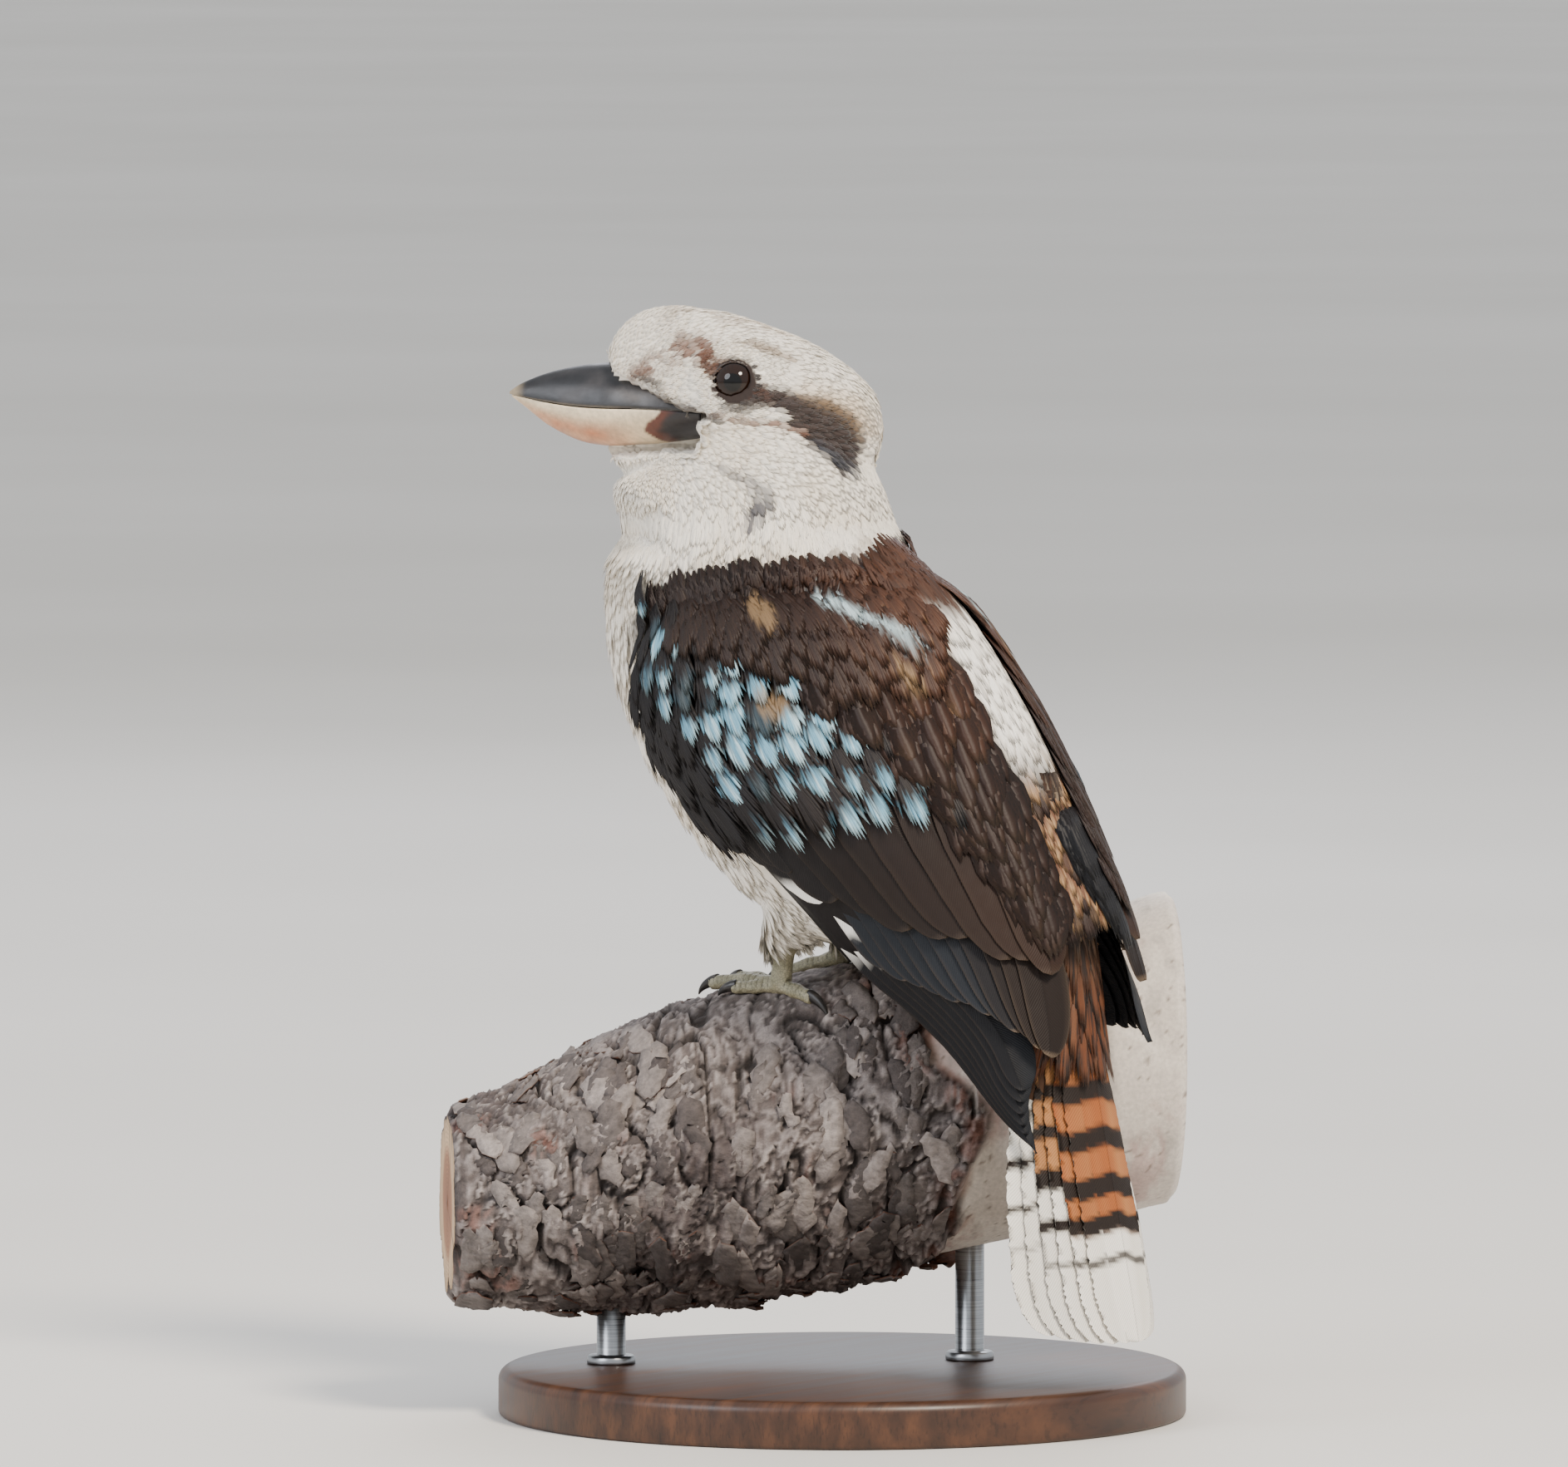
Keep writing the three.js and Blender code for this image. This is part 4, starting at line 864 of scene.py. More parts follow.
def slide(rows, at, v, step, down, over, limits):
    """Moves places of a sheet by a step in its surface, and presses them inside its limits."""
    dd, oo, mixed = (down * down).sum(-1), (over * over).sum(-1), (down * over).sum(-1)
    sd, so = (step * down).sum(-1), (step * over).sum(-1)
    det = dd * oo - mixed ** 2
    v_moved = v + (so * dd - sd * mixed) / det
    kept = np.clip(v_moved, *limits)
    place, _, _, out = sheet_frame(rows, at + (sd * oo - so * mixed) / det, kept + 0.15 * (v_moved - kept))
    return place, out


def shell(upper, lower, count):
    """Quads that close a grid of upper points over the same grid of lower ones."""
    n, m = count
    index = np.arange(n * m).reshape(n, m)
    top = np.stack([index[:-1, :-1], index[1:, :-1], index[1:, 1:], index[:-1, 1:]], -1).reshape(-1, 4)
    blocks = [top, top[:, ::-1] + n * m]
    for line, turn in ((index[:, 0], False), (index[:, -1], True), (index[0, :], True),
                       (index[-1, :], False)):
        quad = np.stack([line[:-1], line[:-1] + n * m, line[1:] + n * m, line[1:]], -1)
        blocks.append(quad[:, ::-1] if turn else quad)
    return np.concatenate([upper.reshape(-1, 3), lower.reshape(-1, 3)]), blocks


def vane(store, rows, root, tip, half, height, tilt, tint, steps=16, blunt=0.72, limits=(-0.03, 1.03),
         rise=0.0,
         shaft=0.0, thick=0.3, sink=1.5, ragged=0.0, cup=0.35, under=None, lower=None, seed=0):
    """One stiff feather laid on a sheet, as a thin closed blade with a raised shaft.
    tint(share, side, place) gives its upper colours."""
    share = 1 - (1 - np.linspace(0, 1, steps)) ** 1.5
    at, v = (root[k] + (tip[k] - root[k]) * share for k in (0, 1))
    _, down, over, out = sheet_frame(rows, at, v)
    along = unit(down * (tip[0] - root[0]) + over * (tip[1] - root[1]))
    side = unit(np.cross(out, along))
    end = np.sqrt(np.clip(1 - (np.clip(share - blunt, 0, 1) / (1 - blunt)) ** 2, 0, 1))
    spread = half * np.minimum(1, 0.45 + 1.6 * share) * np.maximum(end, 0.03)
    rng = np.random.default_rng(seed)
    off = spread[:, None] * (ACROSS + shaft * (1 - ACROSS ** 2))
    off[:, [0, -1]] *= 1 - ragged * rng.random((steps, 2))
    place, face = slide(rows, at[:, None], v[:, None], side[:, None, :] * off[..., None], down[:, None, :],
                        over[:, None, :], limits)
    lift = (height + rise * share)[:, None] + tilt / 2 * ACROSS - cup * ACROSS ** 2
    lift = lift + 0.22 * np.exp(-((off - spread[:, None] * shaft) / 0.35) ** 2)
    lift = lift - sink * ease(share, 0.10, 0.0)[:, None]
    if lower is not None:
        lift = lift - lower(at, v)[:, None]
    body = thick * (1 - 0.7 * np.abs(ACROSS) ** 3)
    points, faces = shell(place + face * lift[..., None], place + face * (lift - body)[..., None],
                          lift.shape)
    n, m = lift.shape
    length = np.concatenate([[0], np.cumsum(np.linalg.norm(np.diff(place[:, 6], axis=0), axis=1))])
    shares, sides = np.repeat(share[:, None], m, 1), np.repeat(ACROSS[None, :], n, 0)
    above = tint(shares, sides, place)
    below = np.broadcast_to(under, above.shape) if under is not None else above * 0.8
    own = np.stack([off - spread[:, None] * shaft, np.repeat(length[:, None], m, 1),
                    np.full((n, m), rng.random())], -1)
    flat = np.stack([(sides + 1) / 2, shares], -1).reshape(-1, 2) * (0.44, 0.94)
    cell = np.concatenate([np.column_stack([flat + shift, np.full(n * m, store["feathers"])])
                           for shift in ((0.03, 0.03), (0.53, 0.03))])
    keep(store, points, faces, np.concatenate([above.reshape(-1, 3), below.reshape(-1, 3)]),
         np.concatenate([own.reshape(-1, 3)] * 2), cell)
    store["feathers"] += 1


def lens_core(store, rows, stations, rise, depth, spread, tint):
    """The fleshy core that carries a sheet's feathers, as a closed lens."""
    share = np.linspace(0, 1, len(stations))
    face = np.interp(share, np.linspace(0, 1, len(rise)), rise)
    deep = np.interp(share, np.linspace(0, 1, len(depth)), depth)
    at, v = np.meshgrid(stations, np.linspace(*spread, 15), indexing="ij")
    place, _, _, out = sheet_frame(rows, at, v)
    edge = np.clip(2 * (v - spread[0]) / (spread[1] - spread[0]) - 1, -1, 1)
    across, endwise = 1 - edge ** 4, 1 - (2 * share - 1) ** 8
    rounding = np.sqrt(np.maximum(across, 0.02)) * np.sqrt(np.maximum(endwise, 0.02))[:, None]
    middle = place + out * (face[:, None] - deep[:, None] * 0.45)[..., None]
    half = (deep[:, None] * 0.5 * rounding)[..., None]
    points, faces = shell(middle + out * half * 0.9, middle - out * half, v.shape)
    flat = np.stack([(edge + 1) / 2, np.repeat(share[:, None], v.shape[1], 1)],
                    -1).reshape(-1, 2) * (0.44, 0.94)
    cell = np.concatenate([np.column_stack([flat + shift, np.full(v.size, store["feathers"])])
                           for shift in ((0.03, 0.03), (0.53, 0.03))])
    keep(store, points, faces, np.tile(tint, (2 * v.size, 1)), np.tile((3.0, 3.0, 0.5), (2 * v.size, 1)),
         cell)
    store["feathers"] += 1


def lay_soft(store, rows, root, tip, half, height, shapes, tint, seed, lower=None, limits=(-0.03, 1.06),
             dip=1.6):
    """Soft feathers of loose barbs bent over a sheet. root and tip are pairs of station and v.
    tint(share, side, place, which) gives the colours."""
    root, tip = np.asarray(root, float), np.asarray(tip, float)
    half, height = np.broadcast_to(half, len(root)), np.broadcast_to(height, len(root))
    kinds = np.random.default_rng(seed).integers(0, len(shapes), len(root))
    for kind, (local, faces) in enumerate(shapes):
        chosen = np.flatnonzero(kinds == kind)
        if len(chosen) == 0:
            continue
        blocks = [np.array([face for face in faces if len(face) == corners]) for corners in (3, 4)]
        share = np.tile(local[:, 1], (len(chosen), 1))
        side = np.tile(local[:, 0] / np.abs(local[:, 0]).max(), (len(chosen), 1))
        step = (tip - root)[chosen]
        at, v = (root[chosen, k, None] + step[:, k, None] * share for k in (0, 1))
        _, down, over, out = sheet_frame(rows, at, v)
        aside = unit(np.cross(out, down * step[:, :1, None] + over * step[:, 1:, None]))
        place, face = slide(rows, at, v, aside * (side * half[chosen, None])[..., None], down, over, limits)
        length = np.linalg.norm(sheet(rows, *tip[chosen].T) - sheet(rows, *root[chosen].T), axis=-1)
        lift = (height[chosen, None] + local[:, 2] * length[:, None] - 0.3 * side ** 2
                - dip * ease(share, 0.4, 0))
        if lower is not None:
            lift = lift - lower(at, v)
        points = place + face * lift[..., None]
        colours = tint(share, side, place, chosen[:, None] + 0 * share)
        chance = np.random.default_rng(seed + kind).random(len(chosen))
        own = np.stack([share, np.repeat(chance[:, None], len(local), 1), 0 * share], -1)
        spot = np.stack([root[chosen, 0] / 9 + 0.1, root[chosen, 1] * 0.8 + 0.1], -1)[:, None, :]
        spot = spot + np.stack([side * 0.0015, (share - 0.5) * 0.003], -1)
        for k in range(len(chosen)):
            keep(store, points[k], blocks, colours[k], own[k], np.column_stack([spot[k], 0 * share[k]]))


def feathered_piece(name, store, material, place=None, soft=False):
    """Turns a store of feathers into a piece. Each stiff feather has its own cell of the OFBake map."""
    points, cells, own = (np.concatenate(store[key]) for key in ("points", "cell", "own"))
    faces = store["faces"]
    if place is not None:
        points = place(points)
        faces = [face[::-1] for face in faces]
    side = math.ceil(math.sqrt(max(store["feathers"], 1)))
    spot = cells[:, :2]
    if not soft:
        spot = np.stack([spot[:, 0] + cells[:, 2] % side, spot[:, 1] + cells[:, 2] // side], -1) / side
    floats = {"share": own[:, 0], "chance": own[:, 1]} if soft else {}
    made = piece(name, row(points), faces, material, colours={"tint": np.concatenate(store["tint"])},
                 floats=floats, vectors={} if soft else {"vane": own}, uvs={"OFBake": spot})
    return made


def vane_surface(tree, shader):
    """Stiff flight and covert feathers: zipped barbs in fine slanting lines, smoother and a little glossy,
    with a darker shaft. Real barbs lie 0.5 mm apart: they are drawn at 1.2 mm, to show."""
    tint = node(tree, "ShaderNodeAttribute", attribute_name="tint")
    own = node(tree, "ShaderNodeAttribute", attribute_name="vane")
    parts = node(tree, "ShaderNodeSeparateXYZ", {0: own.outputs["Vector"]})
    aside = node(tree, "ShaderNodeMath", {0: parts.outputs["X"]}, operation="ABSOLUTE")
    slant = node(tree, "ShaderNodeMath", {0: aside, 1: -1.15, 2: parts.outputs["Y"]},
                 operation="MULTIPLY_ADD")
    place = node(tree, "ShaderNodeTexCoord").outputs["Object"]
    wander = node(tree, "ShaderNodeTexNoise", {"Vector": place, "Scale": 220.0, "Detail": 2.0})
    bent = node(tree, "ShaderNodeMath", {0: wander, 1: 1.6, 2: slant}, operation="MULTIPLY_ADD")
    phase = node(tree, "ShaderNodeMath", {0: bent, 1: 2 * math.pi / 1.2}, operation="MULTIPLY")
    wave = node(tree, "ShaderNodeMath", {0: phase}, operation="SINE")
    stripe_tone = node(tree, "ShaderNodeMapRange",
                       {"Value": wave, "From Min": -1.0, "To Min": 0.84, "To Max": 1.1})
    rib = node(tree, "ShaderNodeMapRange", {"Value": aside, "From Min": 0.15, "From Max": 0.4,
                                           "To Min": 0.75, "To Max": 1.0})
    vary = node(tree, "ShaderNodeMapRange", {"Value": parts.outputs["Z"], "To Min": 0.86, "To Max": 1.12})
    tone = node(tree, "ShaderNodeMath", {0: stripe_tone, 1: rib}, operation="MULTIPLY")
    tone = node(tree, "ShaderNodeMath", {0: tone, 1: vary}, operation="MULTIPLY")
    shaded = node(tree, "ShaderNodeMix", {0: 1.0, 6: tint, 7: tone},
                  data_type="RGBA", blend_type="MULTIPLY")
    bump = node(tree, "ShaderNodeBump", {"Height": wave, "Strength": 0.3, "Distance": 0.00012})
    gloss = node(tree, "ShaderNodeMapRange", {"Value": wander, "To Min": 0.5, "To Max": 0.7})
    join(tree, shader, {"Base Color": shaded, "Normal": bump,
                        "Roughness": gloss, "Specular IOR Level": 0.22})


def comb(share, side, which, fine=7.0):
    """Streaks that run along the barbs, from -1 to 1."""
    spot = np.stack([(side * fine + 0 * share).ravel(), (share * 1.5).ravel(),
                     (which * 5.3 + 0 * share).ravel()], -1)
    return grain(spot, 1.0, 9).reshape(share.shape)


def primary_tint(white):
    def tint(share, side, place):
        z = place[..., 2]
        # the inner vane carries the painted sheen's slate
        return blend(FLIGHT_BLACK, (SHEEN_SLATE, 0.5 * ease(side, -0.1, 0.7)),
                     (EDGE, 0.16 * ease(-side, 0.88, 0.98) * ease(share, 0.25, 0.4)),
                     (WHITE, white * ease(z, 9, 13) * ease(z, 38, 35)))
    return tint


def secondary_tint(inner, white):
    def tint(share, side, place):
        z = place[..., 2]
        edge = (ease(np.abs(side), 0.90, 0.99) * ease(share, 0.4, 0.8) * 0.35
                + ease(share, 0.975, 0.995) * 0.9)
        # the outer secondaries are laid in the painted sheen's slate, the inner ones in brown
        return blend(SHEEN_SLATE + (COVERT_BROWN - SHEEN_SLATE) * inner, (EDGE, np.clip(edge, 0, 1)),
                     (FLIGHT_BLACK, 0.5 * band(side, 0, 0.05, 0.2) * (1 - inner)),
                     (WHITE, white * ease(z, 17, 20) * ease(z, 30, 27) * ease(side, -0.1, -0.3)))
    return tint


def covert_tint(ground, warm, white):
    def tint(share, side, place):
        z = place[..., 2]
        return blend(ground, (MANTLE_RED, warm), (COVERT_BLACK, 0.45 * ease(share, 0.75, 0.2)),
                     (EDGE, 0.16 * ease(np.abs(side), 0.9, 0.99) + 0.3 * ease(share, 0.975, 0.995)),
                     (WHITE, white * ease(z, 12, 15) * ease(z, 38, 35) * ease(side, -0.05, -0.25)))
    return tint


def tier(store, rows, count, roots, tips, tint_of, seed, step=0.0, height=0.0, loose=0.0, **shape):
    """A row of stiff feathers from the outermost to the innermost, each a little higher than the last."""
    rng = np.random.default_rng(seed)
    for i in range(count):
        share = i / (count - 1)
        root, tip = (np.array(a) + (np.array(b) - np.array(a)) * share for a, b in (roots, tips))
        tip = tip + rng.uniform(-1, 1, 2) * (loose, loose * 0.25)
        vane(store, rows, root, tip, height=height + step * i, tint=tint_of(share), seed=seed * 100 + i,
             **shape)


# where the blue-tipped coverts lie, as v by station, and some pale feathers of the brown part
BLUE_LOW = ([0.05, 0.65, 1.0, 1.4, 2.1, 2.8, 3.4], [0.12, 0.16, 0.18, 0.20, 0.23, 0.24, 0.27])
BLUE_HIGH = ([0.05, 0.65, 0.95, 1.4, 2.08, 2.85, 3.4], [0.15, 0.27, 0.45, 0.62, 0.70, 0.78, 0.82])
PALE_SPOTS = np.array([[0.33, 0.63, 0.042], [1.43, 0.52, 0.045], [1.35, 0.88, 0.02]])
fan = [barbed(17, 0.40, 0.085, 0.06, 0.014, seed, stations=4) for seed in range(4)]
plume = [barbed(17, 0.28, 0.075, 0.03, 0.010, seed, stations=3) for seed in range(4)]
broad_plume = [barbed(15, 0.24, 0.13, 0.014, 0.006, seed, stations=4) for seed in range(4)]
skin_tree = BVHTree.FromPolygons(skin_points.tolist(), skin_faces)


def pale_spots(here, across, reach):
    """About 1 on the few buff spots of the shoulder, which reach so far along the wing."""
    return sum(1 - ease(np.hypot((here - at) / reach, (across - v) / wide), 0.7, 1.2)
               for at, v, wide in PALE_SPOTS)


def settling(place):
    """How far the upper end of a wing's sheet must sink to lie on the skin, by station and v."""
    stations, sides = np.linspace(-0.8, 0.9, 14), np.linspace(0, 1, 12)
    at, v = np.meshgrid(stations, sides, indexing="ij")
    spot, _, _, out = sheet_frame(WING, at, v)
    start, end = place(spot + out * 12), place(spot - out * 30)
    gap = np.zeros(at.shape)
    for i, j in product(range(14), range(12)):
        hit = skin_tree.ray_cast(Vector(start[i, j]), Vector(end[i, j] - start[i, j]), 42)
        gap[i, j] = (hit[3] if hit[0] is not None else 18) - 12
    sinking = np.clip(gap - 2.4, -8, 14) * ease(at, 0.8, 0.0)

    def lower(at, v):
        a = np.clip((at - stations[0]) / (stations[1] - stations[0]), 0, 12.999)
        b = np.clip(v / sides[1], 0, 10.999)
        i, j = a.astype(int), b.astype(int)
        a, b = a - i, b - j
        return ((sinking[i, j] * (1 - b) + sinking[i, j + 1] * b) * (1 - a)
                + (sinking[i + 1, j] * (1 - b) + sinking[i + 1, j + 1] * b) * a)
    return lower


def wing(primary_tips, secondary_tips, step, seed, lower):
    flight, soft = new_store(), new_store()
    rng = np.random.default_rng(seed)
    lens_core(flight, WING, np.linspace(0.35, 4.7, 20), [-2.4, -1.6, -1.4, -2.2, -5.0], [6, 9, 10.5, 12, 9],
              (0.03, 0.95), COVERT_BLACK)
    tier(flight, WING, 7, [[3.05, 0.06], [3.7, 0.40]], primary_tips,
         lambda s: primary_tint(1.0 if s < 0.5 else 0.0),
         seed + 1, half=8.2, height=-4.9 - 7 * step, step=step, tilt=-1.6, steps=22, shaft=-0.28, blunt=0.8,
         under=FLIGHT_BLACK, loose=0.03)
    tier(flight, WING, 12, [[2.95, 0.31], [2.8, 0.90]], secondary_tips,
         lambda s: secondary_tint(ease(s, 0.55, 0.9), s < 0.05), seed + 2, half=8.8, height=-4.9, step=0.36,
         tilt=-2.2, steps=20, shaft=-0.15, under=UNDER_WING_SHADED, loose=0.05)
    # alula and primary coverts along the wing's leading edge
    tier(flight, WING, 5, [[1.6, 0.05], [2.2, 0.24]], [[2.95, 0.045], [3.35, 0.2]],
         lambda s: covert_tint(COVERT_BLACK, 0, 0),
         seed + 3, half=6.0, height=-3.0, step=0.5, tilt=-1.2, steps=14, loose=0.04)
    tier(flight, WING, 9, [[2.0, 0.17], [2.3, 0.93]], [[3.75, 0.22], [5.25, 0.92]],
         lambda s: covert_tint(blend(COVERT_BLACK, (COVERT_BROWN, ease(s, 0.1, 0.5))),
                               0.12 * ease(s, 0.5, 1), s < 0.1),
         seed + 4, half=10.5, height=-1.9, step=0.42, tilt=-1.6, steps=16, loose=0.13, ragged=0.05,
         blunt=0.66)
    # soft covert rows from the lowest up, each laid over the roots of the one below it
    roots, tips, halves, heights, blue, start = [], [], [], [], [], []
    rows_of = [(2.95, 3.3, 1.2, 9, 7.4, 0.66), (2.42, 2.85, 1.0, 10, 7.0, 0.52),
               (1.98, 2.42, 0.9, 11, 6.4, 0.42), (1.60, 2.05, 0.8, 11, 6.0, 0.40),
               (1.25, 1.70, 0.75, 11, 5.8, 0.42), (0.92, 1.35, 0.7, 11, 5.4, 0.45),
               (0.60, 1.0, 0.65, 10, 5.0, 0.5), (0.32, 0.7, 0.6, 9, 4.8, 0.5),
               (0.05, 0.4, 0.55, 8, 4.4, 0.5)]
    for k, (low, high, reach, count, wide, from_share) in enumerate(rows_of):
        for i in range(count):
            v = 0.045 + 0.78 * (i + 0.5 * (k % 2)) / (count - 1) + rng.uniform(-0.008, 0.008)
            at = low + (high - low) * v + rng.uniform(-0.06, 0.06)
            if v > np.interp(at, *BLUE_HIGH) + 0.08 or at < 0.2 and v < 0.1:
                continue
            within = ease(v, np.interp(at, *BLUE_LOW) - 0.03, np.interp(at, *BLUE_LOW) + 0.015)
            within = within * ease(v, np.interp(at, *BLUE_HIGH) + 0.03, np.interp(at, *BLUE_HIGH) - 0.01)
            roots.append((at - reach, v + 0.02))
            tips.append((at, v))
            halves.append(wide * rng.uniform(0.9, 1.1))
            heights.append(0.1 + 0.16 * k - 1.5 * ease(v, 0.14, 0.04))
            blue.append(within * (1 if rng.random() > 0.3 else 0.12))
            start.append(from_share + rng.uniform(0.0, 0.26))
    blue, start, spots = np.array(blue), np.array(start), np.array(tips)

    def soft_covert(share, side, _, which):
        which = which.astype(int)
        streak = comb(share, side, which)
        line = start[which] + 0.12 * np.abs(side) + 0.08 * streak
        amount = ease(share, line, line + 0.07) * blue[which]
        pale = blend(BLUE, (BLUE_WHITE, 0.75 * ease(streak, -0.1, 0.6)),
                     (BLUE_WHITE, 0.7 * ease(share, 0.86, 0.97)))
        spot = pale_spots(spots[which, 0] - 0.8 * (1 - share), spots[which, 1] + 0.05 * side, 0.25)
        return blend(COVERT_BLACK, (COVERT_BROWN, ease(spots[which, 1], 0.15, 0.4) * (0.5 + 0.4 * streak)),
                     (pale, amount),
                     (blend(BUFF, (MANTLE, 0.6)), 0.65 * ease(spot + 0.3 * streak, 0.2, 0.9)))

    lay_soft(soft, WING, roots, tips, halves, heights, fan, soft_covert, seed + 5, lower)
    # scapulars and mantle: long soft brown feathers over the rest
    roots, tips, halves, heights = [], [], [], []
    at_root, row_number = -0.3, 0
    while at_root < 3.85:
        reach = 0.46 + 0.66 * ease(at_root, -0.3, 1.8)
        at_tip = at_root + reach
        edge = float(np.interp(at_tip, *BLUE_HIGH)) + 0.06 * max(at_tip - 3.4, 0) + 0.01
        broad = ease(at_tip, 0.9, 2.8)
        last = 1.02 - 0.08 * ease(at_tip, 0.6, 1.4)
        count = max(int(round((last - edge) / (0.045 + 0.04 * broad))), 3)
        for i in range(count):
            v = (edge + (last - edge) * (i + 0.5 * (row_number % 2)) / (count - 0.5)
                 + rng.uniform(-0.012, 0.012))
            roots.append((at_root + rng.uniform(-0.05, 0.05), v + 0.02))
            tips.append((at_tip + rng.uniform(-0.08, 0.08), v))
            halves.append(5.6 + 4.6 * broad)
            heights.append(2.3 - 0.17 * at_tip + rng.uniform(0, 0.2) - 2.2 * ease(at_root, 0.15, -0.25))
        at_root += 0.11 + 0.13 * broad
        row_number += 1
    placed = np.array(tips)

    def scapular(share, side, which):
        at, v = placed[which, 0], placed[which, 1]
        streak = comb(share, side, which, 9.0)
        # warm: a faint reddish tone everywhere, plus a painted sunlit patch, reddish with pale streaks,
        # near the far edge of the upper scapulars
        warm = 0.1 + 0.75 * ease(v, 0.72, 0.98) * ease(at, 3.2, 1.6)
        here, across = at - (0.6 + 0.1 * at) * (1 - share), v + 0.06 * side
        spot = pale_spots(here, across, 0.27)
        # the whitish blotch behind the shoulder
        run = np.clip((here - 0.3) / 0.5, 0, 1)
        blotch = 1.2 - np.hypot((here - 0.3 - 0.5 * run) / 0.2, (across - 0.82 - 0.1 * run) / 0.035)
        return blend(
            MANTLE,
            (COVERT_BROWN, 0.8 * ease(v, 0.8, 0.6) + 0.4 * ease(at, 1.5, 3.5)),
            (MANTLE_RED, warm * (0.6 + 0.3 * streak)),
            # pale buff streaks in the sunlit patch: painted highlights
            (BUFF, 0.3 * warm * ease(streak, 0.3, 0.8) * ease(share, 0.5, 0.95)),
            (COVERT_BLACK, 0.3 * ease(share, 0.8, 0.3) + 0.25 * band(side, 0, 0.04, 0.1)),
            (EDGE, 0.22 * ease(share, 0.9, 0.99) * ease(at, 1.2, 2.4)),
            (blend(BUFF, (MANTLE, 0.62)), 0.65 * ease(spot + 0.3 * streak, 0.2, 0.9)),
            (BLUE_WHITE, (0.85 - 0.35 * run) * ease(blotch + 0.7 * streak, 0.1, 0.9)))

    roots, halves, heights = np.array(roots), np.array(halves), np.array(heights)
    for chosen, shapes in ((placed[:, 0] < 1.7, plume), (placed[:, 0] >= 1.7, broad_plume)):
        numbers = np.flatnonzero(chosen)
        lay_soft(soft, WING, roots[chosen], placed[chosen], halves[chosen], heights[chosen], shapes,
                 lambda share, side, _, which: scapular(share, side, numbers[which.astype(int)]), seed + 6,
                 lower, dip=1.2)
    return flight, soft


stiff_feathers = finish("flight_feather_vanes", vane_surface)
silky_plumage = finish("silky_wing_feathers", wing_feather_surface)
left_flight, left_soft = wing([[7.9, 0.3], [7.0, 0.68]], [[4.85, 0.25], [6.4, 0.88]], 0.5, 100,
                              settling(np.asarray))
right_flight, right_soft = wing([[6.6, 0.10], [6.9, 0.84]], [[4.9, 0.22], [5.8, 0.88]], 0.3, 200,
                                settling(to_right))
for name, store, place, node_name, soft in (
        ("wing_left_quills", left_flight, None, "wing_left", False),
        ("wing_left_coverts", left_soft, None, "wing_left", True),
        ("wing_right_quills", right_flight, to_right, "wing_right", False),
        ("wing_right_coverts", right_soft, to_right, "wing_right", True)):
    made = feathered_piece(name, store, silky_plumage if soft else stiff_feathers, place, soft)
    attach(made, "root")
    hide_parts(node_name)

# the back between the wings: long soft feathers, silvery white above and mottled towards the rump, and the
# right wing's inmost feathers, their own dark brown deepened to black with painted shade, which fold over
# the rump's right side
far_edge = WING[:, 6:9]
BACK = np.hstack([far_edge, (far_edge + to_right(far_edge)) / 2 + (0, 3.0, 2.0), to_right(far_edge)])
back_store, inmost_store = new_store(), new_store()
rng = np.random.default_rng(301)
roots = np.array([(k * 0.2 + rng.uniform(-0.08, 0.08), v + 0.065 * (k % 2) + rng.uniform(-0.03, 0.03))
                  for k in range(-2, 22) for v in np.linspace(-0.04, 0.98, 9)])


def back_tint(share, side, place, which):
    v = roots[which.astype(int), 1]
    streak, whole = comb(share, side, which, 8.0), comb(0 * share, 0 * side, which, 1.0)
    z = place[..., 2]
    scallop = blend(MANTLE, (MANTLE_RED, ease(whole, -0.4, 0.3)),
                    (BUFF, ease(share + 0.15 * streak, 0.66, 0.84) * ease(whole, -0.5, 0.2) * 0.5),
                    (COVERT_BLACK, 0.7 * ease(share, 0.95, 1.0)))
    return blend(
        WHITE,
        (colour("#c9c2b6"), 0.5 * ease(streak, -0.3, 0.6)),
        (MANTLE, 0.35 * ease(streak + 0.9 * whole, 0.55, 0.95) * ease(share, 0.1, 0.5)),
        (scallop, np.clip(ease(z, 88, 66) + 0.4 * ease(np.abs(v - 0.45), 0.35, 0.5), 0, 1)),
        (blend(MANTLE, (MANTLE_RED, 0.35 + 0.3 * streak)), ease(z + 3 * whole, 122, 131)))


# dark brown near the root and black elsewhere: painted shade of the right wing's shaded inner side
def inmost_shaded_tint(share, side, place, which):
    return blend(FLIGHT_BLACK, (COVERT_BROWN, 0.6 * ease(share, 0.6, 0.1) * ease(place[..., 2], 10, 60)))


lay_soft(back_store, BACK, roots, roots + (0.72, 0), 5.2, -0.6 + 4 * np.minimum(roots[:, 0], 0), plume,
         back_tint, 302, limits=(-0.4, 1.4))
inmost = np.array([(3.0 + 0.34 * k, 0.56 + 0.055 * i + 0.03 * (k % 2)) for k in range(4) for i in range(7)])
inmost = inmost[inmost[:, 0] < 3.4 + 2.4 * (inmost[:, 1] - 0.5)]
lay_soft(inmost_store, BACK, inmost, inmost + (1.3, 0.03), 6.5, 0.3, broad_plume, inmost_shaded_tint, 303,
         limits=(0.3, 1.3))
for name, store, finished, slot_name in (
        ("back_stripe_feathers", back_store, silky_plumage, "white_plumage"),
        ("wing_right_inmost", inmost_store, silky_plumage, "brown_plumage")):
    made = feathered_piece(name, store, finished, None, True)
    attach(made, "root")


# Tail
# Twelve stiff tail feathers in six pairs, the middle pair on top, rufous with black bars and broad
# white tips. The outer ones are white with thin black bars. Soft barred coverts lap over their roots.
TAIL_RUFOUS = colour("#8f4a22")
TAIL_BUFF = colour("#b98a58")
